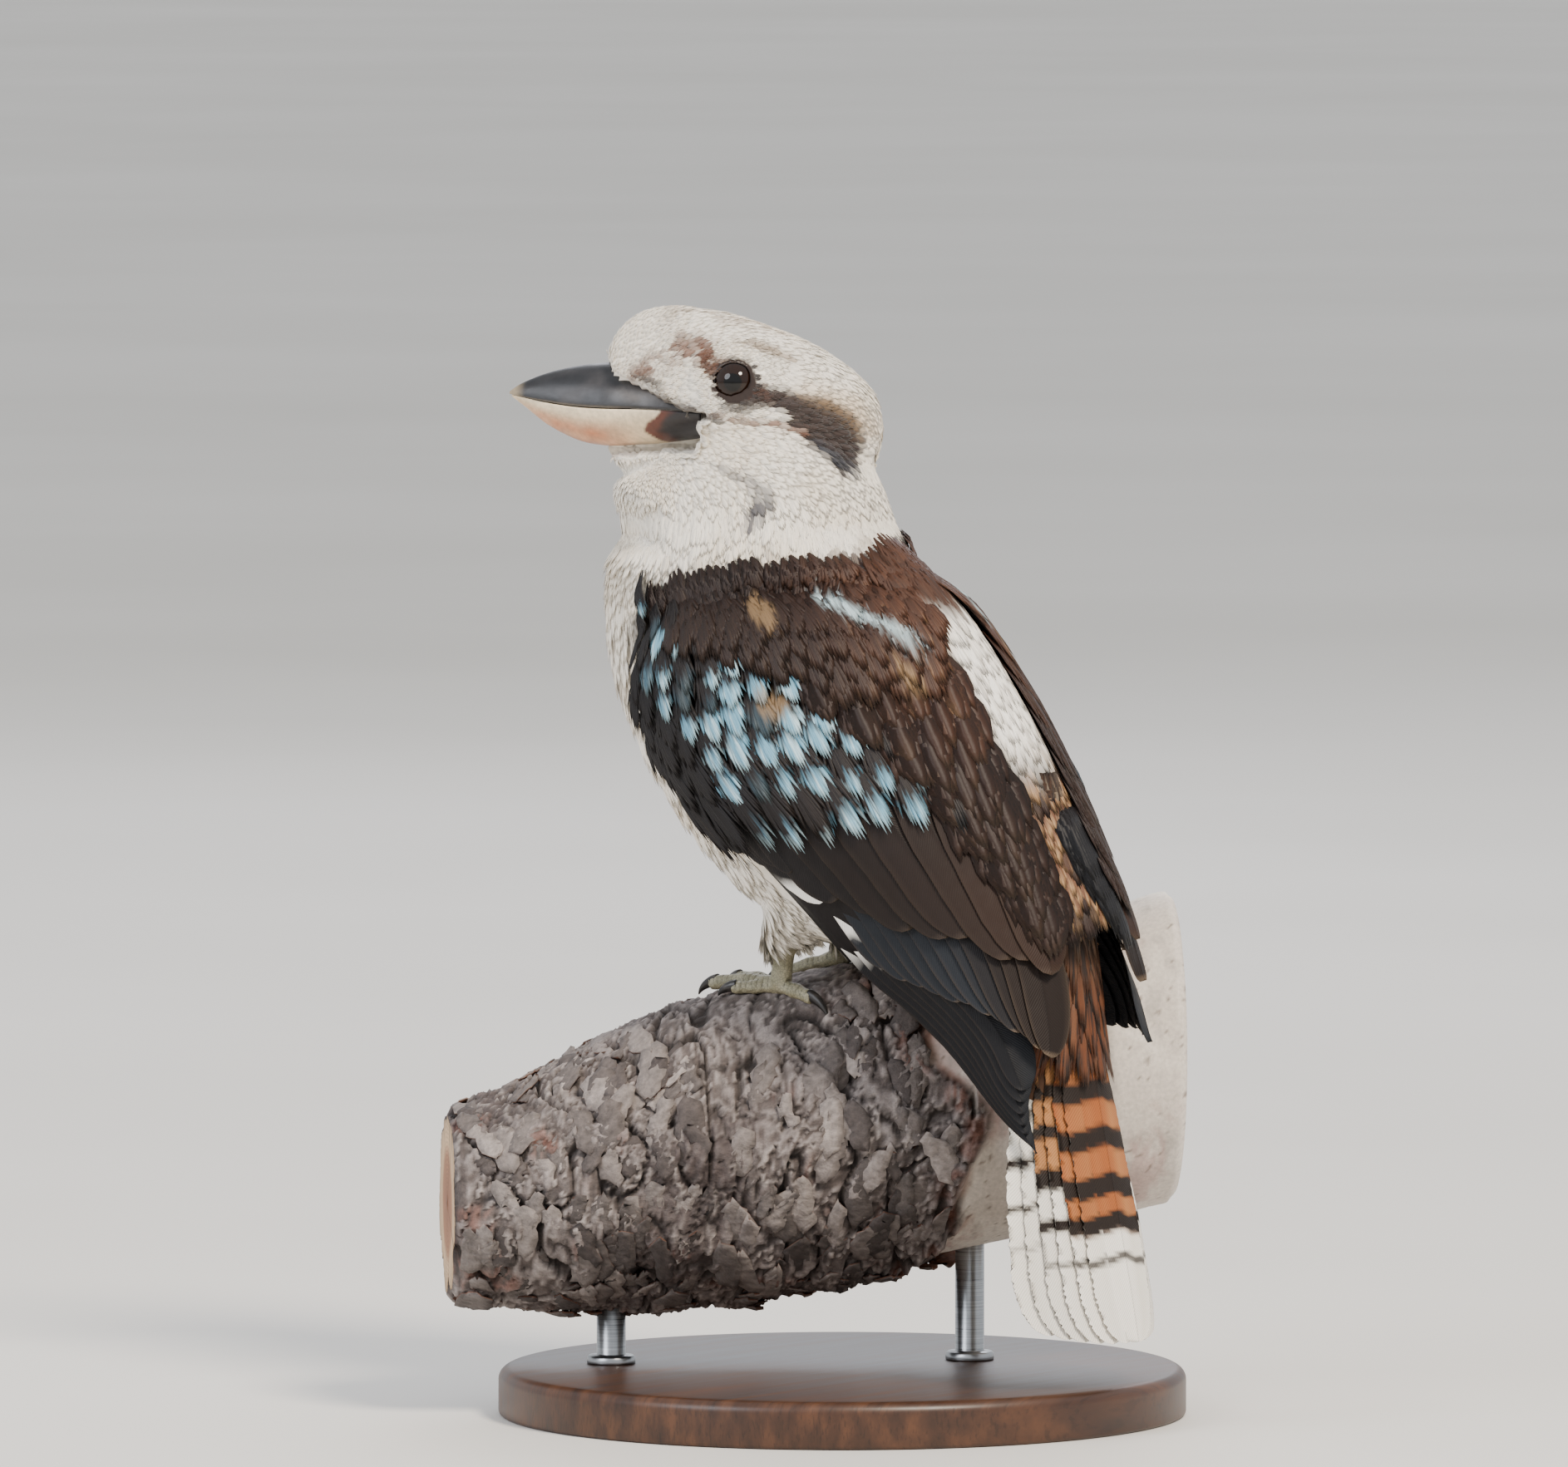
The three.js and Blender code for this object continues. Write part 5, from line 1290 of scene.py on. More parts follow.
# the black bars' upper and lower edges, as heights, and their strength: inner, middle and outer pairs
TAIL_BARS = (
    ((2, -5, 1), (-14, -21, 1), (-31, -38, 1), (-47, -54, 1), (-63, -70, 1), (-76, -82, 1),
     (-90, -92.5, 0.9)),
    ((-30, -36, 1), (-44, -49, 1), (-59, -66, 1), (-76, -80, 1), (-90.5, -92, 0.8)),
    ((-38, -41.5, 1), (-54, -57.5, 1), (-70, -72, 1), (-84, -85.4, 0.5)))


def tail_tint(pair, seed):
    rows = 0 if pair <= 1 else 1 if pair <= 3 else 2

    def tint(share, side, place):
        streak = comb(0 * share, side, pair * 3.0 + seed, 6.0)
        z = place[..., 2] + 2.4 * np.abs(side) ** 1.5 * (0.7 if pair else 1) + 1.1 * streak - 2.5
        white = blend(WHITE, (colour("#d3cdbf"), 0.3 + 0.3 * streak))
        # the rufous darkens to brown towards the tail's upper part: painted shade under the rump and wings
        rufous = blend(TAIL_RUFOUS, (TAIL_BUFF, 0.25 + 0.25 * streak), (MANTLE, 0.7 * ease(z, -45, -15)))
        ground = (blend(rufous, (white, ease(z, -80, -84))),
                  blend(rufous, (TAIL_BUFF, 0.45), (white, ease(z, -60, -66))), white)[rows]
        marks = sum(ease(z, high + 0.7, high - 0.5) * ease(z, low - 0.7, low + 0.5) * strength
                    for high, low, strength in TAIL_BARS[rows])
        return blend(ground, (TAIL_BLACK, np.clip(marks, 0, 1)))
    return tint


tail_store, tail_soft = new_store(), new_store()
lens_core(tail_store, TAIL, np.linspace(0.1, 2.5, 12), [-0.6, -0.8, -1.8], [8, 9, 5], (0.06, 0.94),
          colour("#4a3222"))
for pair in range(5, -1, -1):
    out = (pair + 0.5) / 6
    for side in (-1, 1):
        midline = 0.5 + side * (-0.2 if pair == 0 else 0.02)
        vane(tail_store, TAIL, (0.7, 0.5 + side * 0.22 * out),
             (5.87 - 0.3 * out ** 2, 0.5 + side * 0.44 * out), 12.4,
             height=(0.9 if pair == 0 and side > 0 else 0) - 0.85 * pair, tilt=side * 1.6,
             tint=tail_tint(pair, side),
             steps=110, blunt=0.82, limits=(-0.02, midline) if side < 0 else (midline, 1.02),
             shaft=side * 0.12 * (pair > 0), ragged=0.1, under=colour("#b9b0a2"),
             seed=900 + 2 * pair + side)

rng = np.random.default_rng(77)
roots, tips, halves, heights = [], [], [], []
for k in range(2, 11):
    for i in range(6 - k % 2):
        v = 0.5 + (i - (5 - k % 2) / 2) * 0.13
        at = -1.7 + 0.30 * k
        roots.append((at, v))
        tips.append((at + 0.95, v + 0.2 * (v - 0.5) + rng.uniform(-0.02, 0.02)))
        halves.append(6.2)
        heights.append(0.8 + 0.06 * (11 - k))


def rump_tint(share, side, place, which):
    streak = comb(share, side, which, 5.0)
    z = place[..., 2]
    wave = np.sin(z * 2 * math.pi / 12 + 1.4 * streak + 1.2 * comb(0 * share, 0 * side, which, 1.0))
    return blend(
        colour("#46301f"),
        (colour("#b9a68a"), 0.6 * ease(streak, -0.1, 0.6) * ease(z, 10, 50) + 0.15 * ease(streak, 0, 1)),
        (MANTLE, 0.5 * ease(z, 25, 50)),
        # the lower coverts' dull rufous: partly their own colour, partly painted shade where they lap over
        # the tail
        (TAIL_RUFOUS * 0.6, 0.55 * ease(z, 20, -10)),
        (TAIL_BLACK, ease(wave, -0.35, 0.3) * (0.94 - 0.15 * ease(z, 10, 50))))


def vent_tint(_, side, *others):
    return blend(CREAM, (BUFF, 0.3 * np.abs(side)))


lay_soft(tail_soft, TAIL, roots, tips, halves, heights, plume, rump_tint, 78)
# long white coverts under the tail
roots = [(0.1 + 0.5 * k, 0.5 + (i - 2) * 0.16) for k in range(4) for i in range(5)]
tips = [(at + 1.3, v) for at, v in roots]
lay_soft(tail_soft, TAIL, roots, tips, 7.5, -8.5, plume, vent_tint, 79)
for name, store, material, soft in (("tail_quills", tail_store, stiff_feathers, False),
                                    ("tail_coverts", tail_soft, silky_plumage, True)):
    made = feathered_piece(name, store, material, None, soft)
    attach(made, "root")
    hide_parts("tail")


# Bill
# Two horny halves that meet along the mouth line: the upper one blackish, the lower one cream with an
# orange flush and a dark patch at its base. They run back beneath the feathers of the face.
HORN_BLACK = colour("#17181c")
HORN_GREY = colour("#4a4748")
HORN_CREAM = colour("#dcc7a4")
HORN_ORANGE = colour("#b8602f")
HORN_RED = colour("#5c2f22")


def hoops(index):
    """The quads between rows of points, each row closed on itself."""
    low, high = index[:-1], index[1:]
    return np.stack([low, high, np.roll(high, -1, 1), np.roll(low, -1, 1)], -1).reshape(-1, 4)


def bill_half(name, table, side, tint_of, node_name):
    rings, sides = 120, 72
    forward, ridge, mouth, width = between(table,
                                           np.linspace(0, len(table) - 1 + 0.35, rings)).T[:, :, None]
    angle = np.linspace(0, 2 * math.pi, sides, endpoint=False)
    arch, swing = np.cos(angle), np.sin(angle)
    depth = np.abs(ridge - mouth)
    up = np.where(arch > 0, depth * np.abs(arch) ** 1.15, 0)
    across = np.sign(swing) * np.abs(swing) ** np.where(arch > 0, 1.1, 0.4)
    left = width * across
    height = mouth + side * up
    share = np.where(arch > 0, arch, 0)
    if side > 0:
        # a shallow nostril slit at the feathers' edge, and a groove that runs forward from it
        slit = np.exp(-((forward - 34.5) / 3.6) ** 4
                      - ((height - (6.3 + 0.30 * (forward - 34.5))) / 0.95) ** 2)
        left = left - np.sign(left) * 1.1 * slit
        groove = np.exp(-((height - (4.2 + 0.05 * forward)) / 1.2) ** 2) * ease(forward, 60, 44)
        left = left - np.sign(left) * 0.25 * groove
    else:
        slit = np.zeros_like(left)
    grown = grain(np.stack(np.broadcast_arrays(forward * 0.35, left, height), -1).reshape(-1, 3), 2.4,
                  12).reshape(left.shape)
    left = left * (1 + 0.004 * grown)
    points = from_head(np.stack(np.broadcast_arrays(left, forward, height), -1))
    index = np.arange(rings * sides).reshape(rings, sides)
    quads = hoops(index)
    faces = quads.tolist() + [index[0].tolist(), index[-1][::-1].tolist()]
    tint = tint_of(np.abs(left), np.broadcast_to(forward, left.shape), height, share, slit)
    unrolled = np.stack(np.broadcast_arrays(np.linspace(0.02, 0.98, sides)[None],
                                            np.linspace(0.02, 0.98, rings)[:, None]), -1)
    made = piece(name, row(points.reshape(-1, 3)), faces, horn, colours={"tint": tint.reshape(-1, 3)},
                 uvs={"OFBake": unrolled.reshape(-1, 2)})
    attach(made, "root")
    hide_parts(node_name)


def horn_surface(tree, shader):
    """Keratin sheath: satin, with fine growth lines along it and small scuffs."""
    tint = node(tree, "ShaderNodeAttribute", attribute_name="tint")
    place = node(tree, "ShaderNodeTexCoord").outputs["Object"]
    lined = node(tree, "ShaderNodeMapping", {"Vector": place, "Rotation": (0, 0, math.radians(60)),
                                            "Scale": (60.0, 700.0, 700.0)})
    lines = node(tree, "ShaderNodeTexNoise", {"Vector": lined, "Scale": 1.0, "Detail": 3.0})
    scuffs = node(tree, "ShaderNodeTexNoise", {"Vector": place, "Scale": 160.0, "Detail": 5.0})
    tone = node(tree, "ShaderNodeMapRange", {"Value": lines, "From Min": 0.3, "From Max": 0.7,
                                            "To Min": 0.86, "To Max": 1.12})
    worn = node(tree, "ShaderNodeMapRange", {"Value": scuffs, "From Min": 0.35, "From Max": 0.7,
                                            "To Min": 0.88, "To Max": 1.1})
    both = node(tree, "ShaderNodeMath", {0: tone, 1: worn}, operation="MULTIPLY")
    shaded = node(tree, "ShaderNodeMix", {0: 1.0, 6: tint, 7: both},
                  data_type="RGBA", blend_type="MULTIPLY")
    gloss = node(tree, "ShaderNodeMapRange", {"Value": scuffs, "From Min": 0.3, "From Max": 0.7,
                                             "To Min": 0.3, "To Max": 0.5})
    bump = node(tree, "ShaderNodeBump", {"Height": lines, "Strength": 0.25, "Distance": 0.0002})
    join(tree, shader, {"Base Color": shaded, "Roughness": gloss, "Normal": bump})


def upper_tint(left, forward, height, share, slit):
    cloud = grain(np.stack([left, forward * 0.3, height], -1).reshape(-1, 3), 3.0, 31).reshape(left.shape)
    # a pale grey-brown band along the side: partly the horn's paler tone, partly painted sheen
    sheen_band = np.exp(-((height - (0.6 + 0.04 * (60 - forward))) / 2.6) ** 2) * ease(forward, 50, 34)
    return blend(
        HORN_BLACK,
        (HORN_GREY, 0.3 * ease(cloud, -0.2, 0.8)),
        (colour("#77706a"), 0.55 * sheen_band * (0.6 + 0.4 * cloud)),
        (colour("#8d8170"), 0.6 * ease(share, 0.10, 0.0) * ease(forward, 30, 50)),
        (HORN_CREAM, 0.45 * ease(forward, 75, 81)),
        (colour("#060606"), np.clip(slit * 1.4, 0, 1)))


def lower_tint(left, forward, height, share, _):
    cloud = grain(np.stack([left, forward, height], -1).reshape(-1, 3), 4.0, 41).reshape(left.shape)
    flush = ease(share, 0.22, 0.75) * ease(forward, 30, 50) * ease(forward, 84, 66)
    # the dark patch at the base, with a reddish front edge
    edge = np.interp(height, [-17, -16, -14.5, -10.7, -7.7, -4], [19, 23, 27.5, 32, 31.5, 27]) + 1.2 * cloud
    return blend(
        HORN_CREAM,
        (colour("#f0dfc2"), 0.5 * ease(share, 0.5, 0.05)),
        (HORN_ORANGE, 0.85 * flush * (0.8 + 0.2 * cloud)),
        (HORN_RED, 0.45 * ease(share, 0.9, 1.0) * ease(forward, 26, 36) * ease(forward, 74, 60)),
        (HORN_RED, ease(forward, edge + 0.8, edge - 0.6)),
        (colour("#242124"), ease(forward, edge - 2.5, edge - 7)))


horn = finish("bill_horn", horn_surface)
bill_half("bill_upper_horn", UPPER_BILL, 1, upper_tint, "bill_upper")
bill_half("bill_lower_horn", LOWER_BILL, -1, lower_tint, "bill_lower")


# Eyes
# Glassy dark brown eyes with a black pupil and a clear bulging front, each set in a round opening of the
# face, and dark, naked lids that rise round it and hold the ball.

def ball(side):
    """An eyeball whose pole looks outwards, with a bulging cornea."""
    rings, sides = 72, 96
    angle = np.linspace(0, math.pi, rings)[:, None]
    around = np.linspace(0, 2 * math.pi, sides, endpoint=False)[None]
    bulge = 1 + 0.035 * np.exp(-(angle / 0.55) ** 4)
    out = side * EYE_RADIUS * bulge * np.cos(angle) + 0 * around
    aside = EYE_RADIUS * bulge * np.sin(angle)
    h = np.stack([side * EYE[0] + out, EYE[1] + aside * np.cos(around), EYE[2] + aside * np.sin(around)],
                 -1)
    index = np.arange(rings * sides).reshape(rings, sides)
    faces = hoops(index[1:-1]).tolist() + [index[1].tolist(), index[-2][::-1].tolist()]
    points = from_head(h).reshape(-1, 3)
    used = np.arange(sides, (rings - 1) * sides)
    faces = [[corner - sides for corner in face] for face in faces]
    aside = np.broadcast_to(aside, (rings, sides)).reshape(-1)[used]
    back = np.broadcast_to(angle > 1.6, (rings, sides)).reshape(-1)[used]
    uv = np.stack(np.broadcast_arrays(around / 7 + 0.02, angle / 3.5 + 0.02), -1).reshape(-1, 2)[used]
    return points[used], faces, np.where(back, 9.0, aside), uv


def eye_surface(tree, shader):
    """Wet eye: black pupil in a very dark brown iris with fine rays, under a clear glossy cornea."""
    aside = node(tree, "ShaderNodeAttribute", attribute_name="aside")
    spin = node(tree, "ShaderNodeAttribute", attribute_name="ray")
    rays = node(tree, "ShaderNodeTexNoise", {"Vector": spin.outputs["Vector"], "Scale": 9.0, "Detail": 4.0})
    iris = node(tree, "ShaderNodeMix", {0: rays, 6: "#0d0704", 7: "#27150c"}, data_type="RGBA")
    wobble = node(tree, "ShaderNodeMath", {0: rays, 1: 0.25, 2: aside.outputs["Fac"]},
                  operation="MULTIPLY_ADD")
    pupil = node(tree, "ShaderNodeMapRange", {"Value": wobble, "From Min": 3.1, "From Max": 3.35})
    limbus = node(tree, "ShaderNodeMapRange", {"Value": wobble, "From Min": 6.0, "From Max": 6.6})
    inner = node(tree, "ShaderNodeMix", {0: pupil, 6: "#030303", 7: iris}, data_type="RGBA")
    whole = node(tree, "ShaderNodeMix", {0: limbus, 6: inner, 7: "#070505"}, data_type="RGBA")
    join(tree, shader, {"Base Color": whole, "Roughness": 0.04, "Specular IOR Level": 0.4})


def lid_surface(tree, shader):
    """Naked lid skin: dark grey-brown, finely creased and a little moist."""
    place = node(tree, "ShaderNodeTexCoord").outputs["Object"]
    creases = node(tree, "ShaderNodeTexVoronoi", {"Vector": place, "Scale": 1500.0})
    tone = node(tree, "ShaderNodeMix", {0: creases, 6: "#120d0b", 7: "#3a2c25"}, data_type="RGBA")
    bump = node(tree, "ShaderNodeBump", {"Height": creases, "Strength": 0.5, "Distance": 0.0003})
    join(tree, shader, {"Base Color": tone, "Normal": bump, "Roughness": 0.38})


eye_glass, lid_skin = finish("wet_eye", eye_surface), finish("eyelid_skin", lid_surface)
for side, node_name in ((1, "eye_left"), (-1, "eye_right")):
    points, faces, aside, uv = ball(side)
    around = np.arctan2(*(in_head(points)[:, [2, 1]] - EYE[[2, 1]]).T)
    ray = np.stack([np.cos(around) * 0.9, np.sin(around) * 0.9, aside * 0.02], -1)
    eye = piece(node_name + "_ball", row(points), faces, eye_glass, floats={"aside": aside},
                vectors={"ray": ray}, uvs={"OFBake": uv})
    # lids: a soft ring that rises out of the face and folds in over the ball, with a corner front and back
    turns, stops = 96, np.array([[7.0, 3.6], [6.74, 4.5], [6.72, 4.9], [6.95, 5.2], [7.3, 5.15], [7.8, 4.5],
                                 [8.4, 3.5], [9.2, 1.9], [8.6, 0.6], [7.4, 1.6]])
    angle = np.linspace(0, 2 * math.pi, turns, endpoint=False)[:, None]
    crease = 0.12 * np.sin(23 * angle) * (stops[None, :, 0] > 7) + 0.05 * np.sin(57 * angle)
    to_front, to_back = np.angle(np.exp(1j * angle)), np.angle(np.exp(1j * (angle - math.pi)))
    corner = 0.3 * np.exp(-(to_front / 0.35) ** 2) + 0.4 * np.exp(-(to_back / 0.3) ** 2)
    radius = stops[None, :, 0] + corner + crease
    flat = np.where(np.sin(angle) > 0, 0.965, 0.985)
    h = np.stack([np.broadcast_to(side * (EYE[0] + stops[None, :, 1] - 0.5 * corner), radius.shape),
                  EYE[1] + radius * np.cos(angle), EYE[2] + radius * np.sin(angle) * flat], -1)
    index = np.arange(turns * len(stops)).reshape(turns, len(stops))
    quads = hoops(np.vstack([index, index[:1]]))
    unrolled = np.stack(np.broadcast_arrays(angle / 7 + 0.02, np.linspace(0.05, 0.95, len(stops))[None]),
                        -1).reshape(-1, 2)
    lids = piece(node_name + "_lids", row(from_head(h).reshape(-1, 3)), quads.reshape(-1, 4), lid_skin,
                 uvs={"OFBake": unrolled})
    for made in (eye, lids):
        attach(made, "root")
        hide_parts(node_name)


# Feet
# Short bare shanks and four-toed feet that grip the limb: three toes forward, the middle two joined for
# half their length, one behind. Scaly olive-grey skin with soft pads below, and dark curved claws.
LIMB = np.array([
    [-118, -44, -111, 35], [-90, -33, -114, 43], [-60, -18, -115, 49], [-30, -6, -113, 53],
    [0, 0, -110, 54], [30, 6, -105, 54], [60, 12, -99, 54], [90, 19, -93, 54], [118, 27, -87, 53],
    [132, 31, -84, 52]], float)
LIMB_TURN = math.radians(134)
LIMB_AXIS = np.array([math.cos(LIMB_TURN), math.sin(LIMB_TURN), 0.0])
LIMB_ACROSS = np.array([-math.sin(LIMB_TURN), math.cos(LIMB_TURN), 0.0])
FIRST_CUT, LAST_CUT = LIMB[0, 0], LIMB[-1, 0]
FOOT_ASIDE, FOOT_BEHIND = 17.0, 9.0
TOES = ((2, 29, 3.1, 9), (-13, 24, 2.9, 8), (24, 17, 2.7, 7), (176, 15, 3.0, 9))  # turn, length, pad, claw


def limb_section(along):
    """Crest, underside and half width of the limb at distances along it."""
    at = np.interp(along, LIMB[:, 0], np.arange(len(LIMB)))
    return np.moveaxis(between(LIMB, at)[..., 1:], -1, 0)


def limb_top(spots):
    crest, underside, half_width = limb_section(spots @ LIMB_AXIS)
    half = (crest - underside) / 2
    return crest - half + half * np.sqrt(np.maximum(1 - (spots @ LIMB_ACROSS / half_width) ** 2, 0))


def tube(path, radii, sides=24, flat=1.0):
    """A closed bar along a path, with its height scaled by flat."""
    path, radii = np.asarray(path, float), np.asarray(radii, float)
    along = unit(np.gradient(path, axis=0))
    aside = unit(np.cross(along, np.array([0.0, 0.0, 1.0]) + 1e-6))
    up = np.cross(aside, along)
    angle = np.linspace(0, 2 * math.pi, sides, endpoint=False)[None, :, None]
    points = path[:, None] + radii[:, None, None] * (aside[:, None] * np.cos(angle)
                                                     + flat * up[:, None] * np.sin(angle))
    n = len(path)
    index = np.arange(n * sides).reshape(n, sides)
    quads = hoops(index)[:, [0, 3, 2, 1]]
    return points.reshape(-1, 3), quads.tolist() + [index[0][::-1].tolist(), index[-1].tolist()]


def toe_path(side, turn, distance, height):
    heading = math.radians(turn) * side
    spots = np.outer(distance, [math.sin(heading), -math.cos(heading), 0.0])
    spots += (side * FOOT_ASIDE, FOOT_BEHIND, 0.0)
    spots[:, 2] = limb_top(spots) + height
    return spots


def gathered(parts):
    """Points and faces of several closed bodies as one list each."""
    points, faces, first = [], [], 0
    for part_points, part_faces in parts:
        points.append(part_points)
        faces.extend(tuple(corner + first for corner in face) for face in part_faces)
        first += len(part_points)
    return np.concatenate(points), faces


def merged(parts, size):
    """Closed bodies joined into one smooth skin by remeshing."""
    mesh = bpy.data.meshes.new("parts")
    points, faces = gathered(parts)
    mesh.from_pydata((points / 1000).tolist(), [], faces)
    face_outwards(mesh)
    points, faces, edges = remeshed(mesh, size)
    return relaxed(points * 1000, edges, 4), faces


def foot_surface(tree, shader):
    """Scaly foot skin: leathery, with dark seams between the scutes."""
    tint = node(tree, "ShaderNodeAttribute", attribute_name="tint")
    place = node(tree, "ShaderNodeTexCoord").outputs["Object"]
    cells = node(tree, "ShaderNodeTexVoronoi", {"Vector": place, "Scale": 900.0},
                 feature="DISTANCE_TO_EDGE")
    seam = node(tree, "ShaderNodeMapRange",
                {"Value": cells, "From Max": 0.12, "To Min": 0.6, "To Max": 1.0})
    shaded = node(tree, "ShaderNodeMix", {0: 1.0, 6: tint, 7: seam},
                  data_type="RGBA", blend_type="MULTIPLY")
    bump = node(tree, "ShaderNodeBump", {"Height": seam, "Strength": 0.6, "Distance": 0.0003})
    join(tree, shader, {"Base Color": shaded, "Normal": bump, "Roughness": 0.52})


foot_skin = finish("scaly_foot_skin", foot_surface)
claw_horn = finish("claw_horn", horn_surface)
for side, node_name in ((1, "foot_left"), (-1, "foot_right")):
    top = limb_top(np.array([[side * FOOT_ASIDE, FOOT_BEHIND, 0.0]]))[0]
    shank = np.array([[side * 17.7, 14.5, 16], [side * 17.2, 11, 8],
                      [side * FOOT_ASIDE, 9.3, top + 3.6], [side * FOOT_ASIDE, FOOT_BEHIND, top + 2.4]])
    parts = [tube(between(shank, np.linspace(0, 3, 14)),
                  np.interp(np.linspace(0, 3, 14), [0, 1, 2, 3], [3.9, 3.4, 3.9, 3.2]), 20)]
    lines, claws = [shank[:3]], []
    for turn, length, pad, claw in TOES:
        share = np.linspace(0, 1, 40)
        swell = np.interp(share, [0, 0.16, 0.3, 0.42, 0.5, 0.62, 0.72, 0.86, 1],
                          [1.1, 1, 0.84, 0.98, 1.05, 0.9, 0.82, 0.92, 0.74])
        path = toe_path(side, turn, length * share, pad * 0.82)
        parts.append(tube(path, pad * swell, 20, 0.92))
        lines.append(path)
        reach = np.linspace(0, 1, 26)
        hook = toe_path(side, turn, length * 0.90 + claw * np.sin(reach * 1.35) * 0.95,
                        pad * 1.12 - claw * 0.40 * reach ** 2)
        claws.append(tube(hook, 1.75 * (1 - reach ** 1.6) + 0.18, 18, 1.1))
    # the web of skin that joins the outer two front toes near their base
    web = (toe_path(side, -13, np.linspace(0, 11, 10), 2.0)
           + toe_path(side, 2, np.linspace(0, 11, 10), 2.0)) / 2
    parts.append(tube(web, np.linspace(3.2, 2.2, 10), 16, 0.8))
    points, faces = merged(parts, 0.42)
    # scutes: shallow rings across each toe's back, and plates down the front of the shank
    nearest, run = np.full(len(points), 99.0), np.zeros(len(points))
    for line in lines:
        dense = between(line, np.linspace(0, len(line) - 1, 90))
        gap = np.linalg.norm(points[:, None] - dense[None], axis=2)
        best = gap.argmin(1)
        walked = np.concatenate([[0], np.cumsum(np.linalg.norm(np.diff(dense, axis=0), axis=1))])
        closer = gap[np.arange(len(points)), best] < nearest
        run = np.where(closer, walked[best], run)
        nearest = np.minimum(nearest, gap[np.arange(len(points)), best])
    bare = bpy.data.meshes.new("bare")
    bare.from_pydata(points.tolist(), [], faces)
    bare.update()
    facing = vertex_normals(bare)
    step = np.abs((run / 1.9) % 1 - 0.5) * 2
    scute = ease(step, 0.72, 1.0) * ease(facing[:, 2], -0.25, 0.25)
    pads = 0.25 * grain(points, 1.1, 61) * ease(facing[:, 2], 0.0, -0.5)
    points = points - facing * (0.34 * scute - pads)[:, None]
    skin_colour = blend(colour("#837f67"), (colour("#a8a28a"), 0.6 * ease(grain(points, 3, 62), -0.3, 0.7)),
                        (colour("#4b4738"), 0.7 * scute),
                        (colour("#8f8468"), 0.5 * ease(facing[:, 2], 0.0, -0.6)))
    low, high = points.min(0), points.max(0)
    foot = piece(node_name + "_toes", row(points), faces, foot_skin, colours={"tint": skin_colour},
                 uvs={"OFBake": ((points - low) / (high - low))[:, :2]})
    claw_points, claw_faces = gathered(claws)
    shade = blend(colour("#1d1a19"), (colour("#57504a"), 0.5 * ease(grain(claw_points, 2, 63), 0, 0.8)))
    low, high = claw_points.min(0), claw_points.max(0)
    nails = piece(node_name + "_claws", row(claw_points), claw_faces, claw_horn, colours={"tint": shade},
                  uvs={"OFBake": ((claw_points - low) / (high - low))[:, :2]})
    for made in (foot, nails):
        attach(made, "root")
        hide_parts(node_name)


# Gum limb
# A cut length of limb. Its nearer part keeps rough, furrowed, flaking bark; beyond a torn edge the bark
# has been shed and the pale new bark is smooth, with fine pores and a pinkish bloom.
def bark_relief(along, angle):
    ridges = 1.5 * np.sin(angle * 7 + along * 0.045 + 1.3 * np.sin(along * 0.06 + angle * 2))
    plates = 1.1 * np.sin(angle * 4 - along * 0.11) * np.sin(along * 0.09 + angle * 3)
    edge = 52 + 9 * np.sin(angle * 3 + 0.8) + 5 * np.sin(angle * 7)
    rough = ease(edge - along, -3, 3)
    worn = np.maximum(np.cos(angle), 0) ** 2
    return (rough - 1) * 4.5 * (1 - 0.4 * worn) + rough * (1 - 0.85 * worn) * (ridges + plates), rough, edge


def limb_places(along, angle, relief=0.0):
    crest, underside, half_width = limb_section(along)
    half = (crest - underside) / 2
    return (along[..., None] * LIMB_AXIS + ((half_width + relief) * np.sin(angle))[..., None] * LIMB_ACROSS
            + (crest - half + (half + relief) * np.cos(angle))[..., None] * np.array([0.0, 0.0, 1.0]))


rings, sides = 236, 330
turns = np.linspace(0, 2 * math.pi, sides, endpoint=False)
along, angle = np.meshgrid(np.linspace(FIRST_CUT, LAST_CUT, rings), turns, indexing="ij")
smooth_places = limb_places(along, angle).reshape(-1, 3)
flat_along, flat_angle = along.ravel(), angle.ravel()
relief, rough, edge = bark_relief(flat_along, flat_angle)
# furrows run round the limb and swirl: the noise is stretched that way and bent by coarser noise
spread_out = np.stack([flat_along, smooth_places @ LIMB_ACROSS * 0.42, smooth_places[:, 2] * 0.42], -1)
swirl = np.stack([grain(smooth_places, 34, s) for s in (71, 72, 73)], -1) * 9
swirl = swirl + 2.2 * np.stack([grain(spread_out, 5, s) for s in (74, 75, 76)], -1)
bent = spread_out + swirl * (1, 0.5, 0.5)
broad = 1 - np.abs(grain(bent, 9.5, 77))
narrow = 1 - np.abs(grain(bent, 4.2, 78))
fine = grain(bent * (1.6, 1, 1), 1.7, 79)
layer = grain(bent, 13, 80)
ledges = layer * 3.2 + 0.5 * fine
ledges = ledges - np.floor(ledges)
grit = grain(smooth_places, 1.2, 81)
from_foot = np.hypot(np.abs(smooth_places[:, 0]) - FOOT_ASIDE, smooth_places[:, 1] - 2)
toes_on = np.exp(-((from_foot / 26) ** 4)) * (np.cos(flat_angle) > 0)
depth = 1 - 0.72 * toes_on
furrow_cut = ease(broad, 0.86, 1.0)
crack_cut = ease(narrow, 0.86, 1.0)
rim = ease(edge - flat_along, 0, 4) * ease(edge - flat_along, 12, 5)
plate_step = 1.5 * (ledges - 0.5) + 1.3 * layer
rough_cut = plate_step - 3.6 * furrow_cut - 1.7 * crack_cut + 0.35 * fine + 0.25 * grit - 0.5
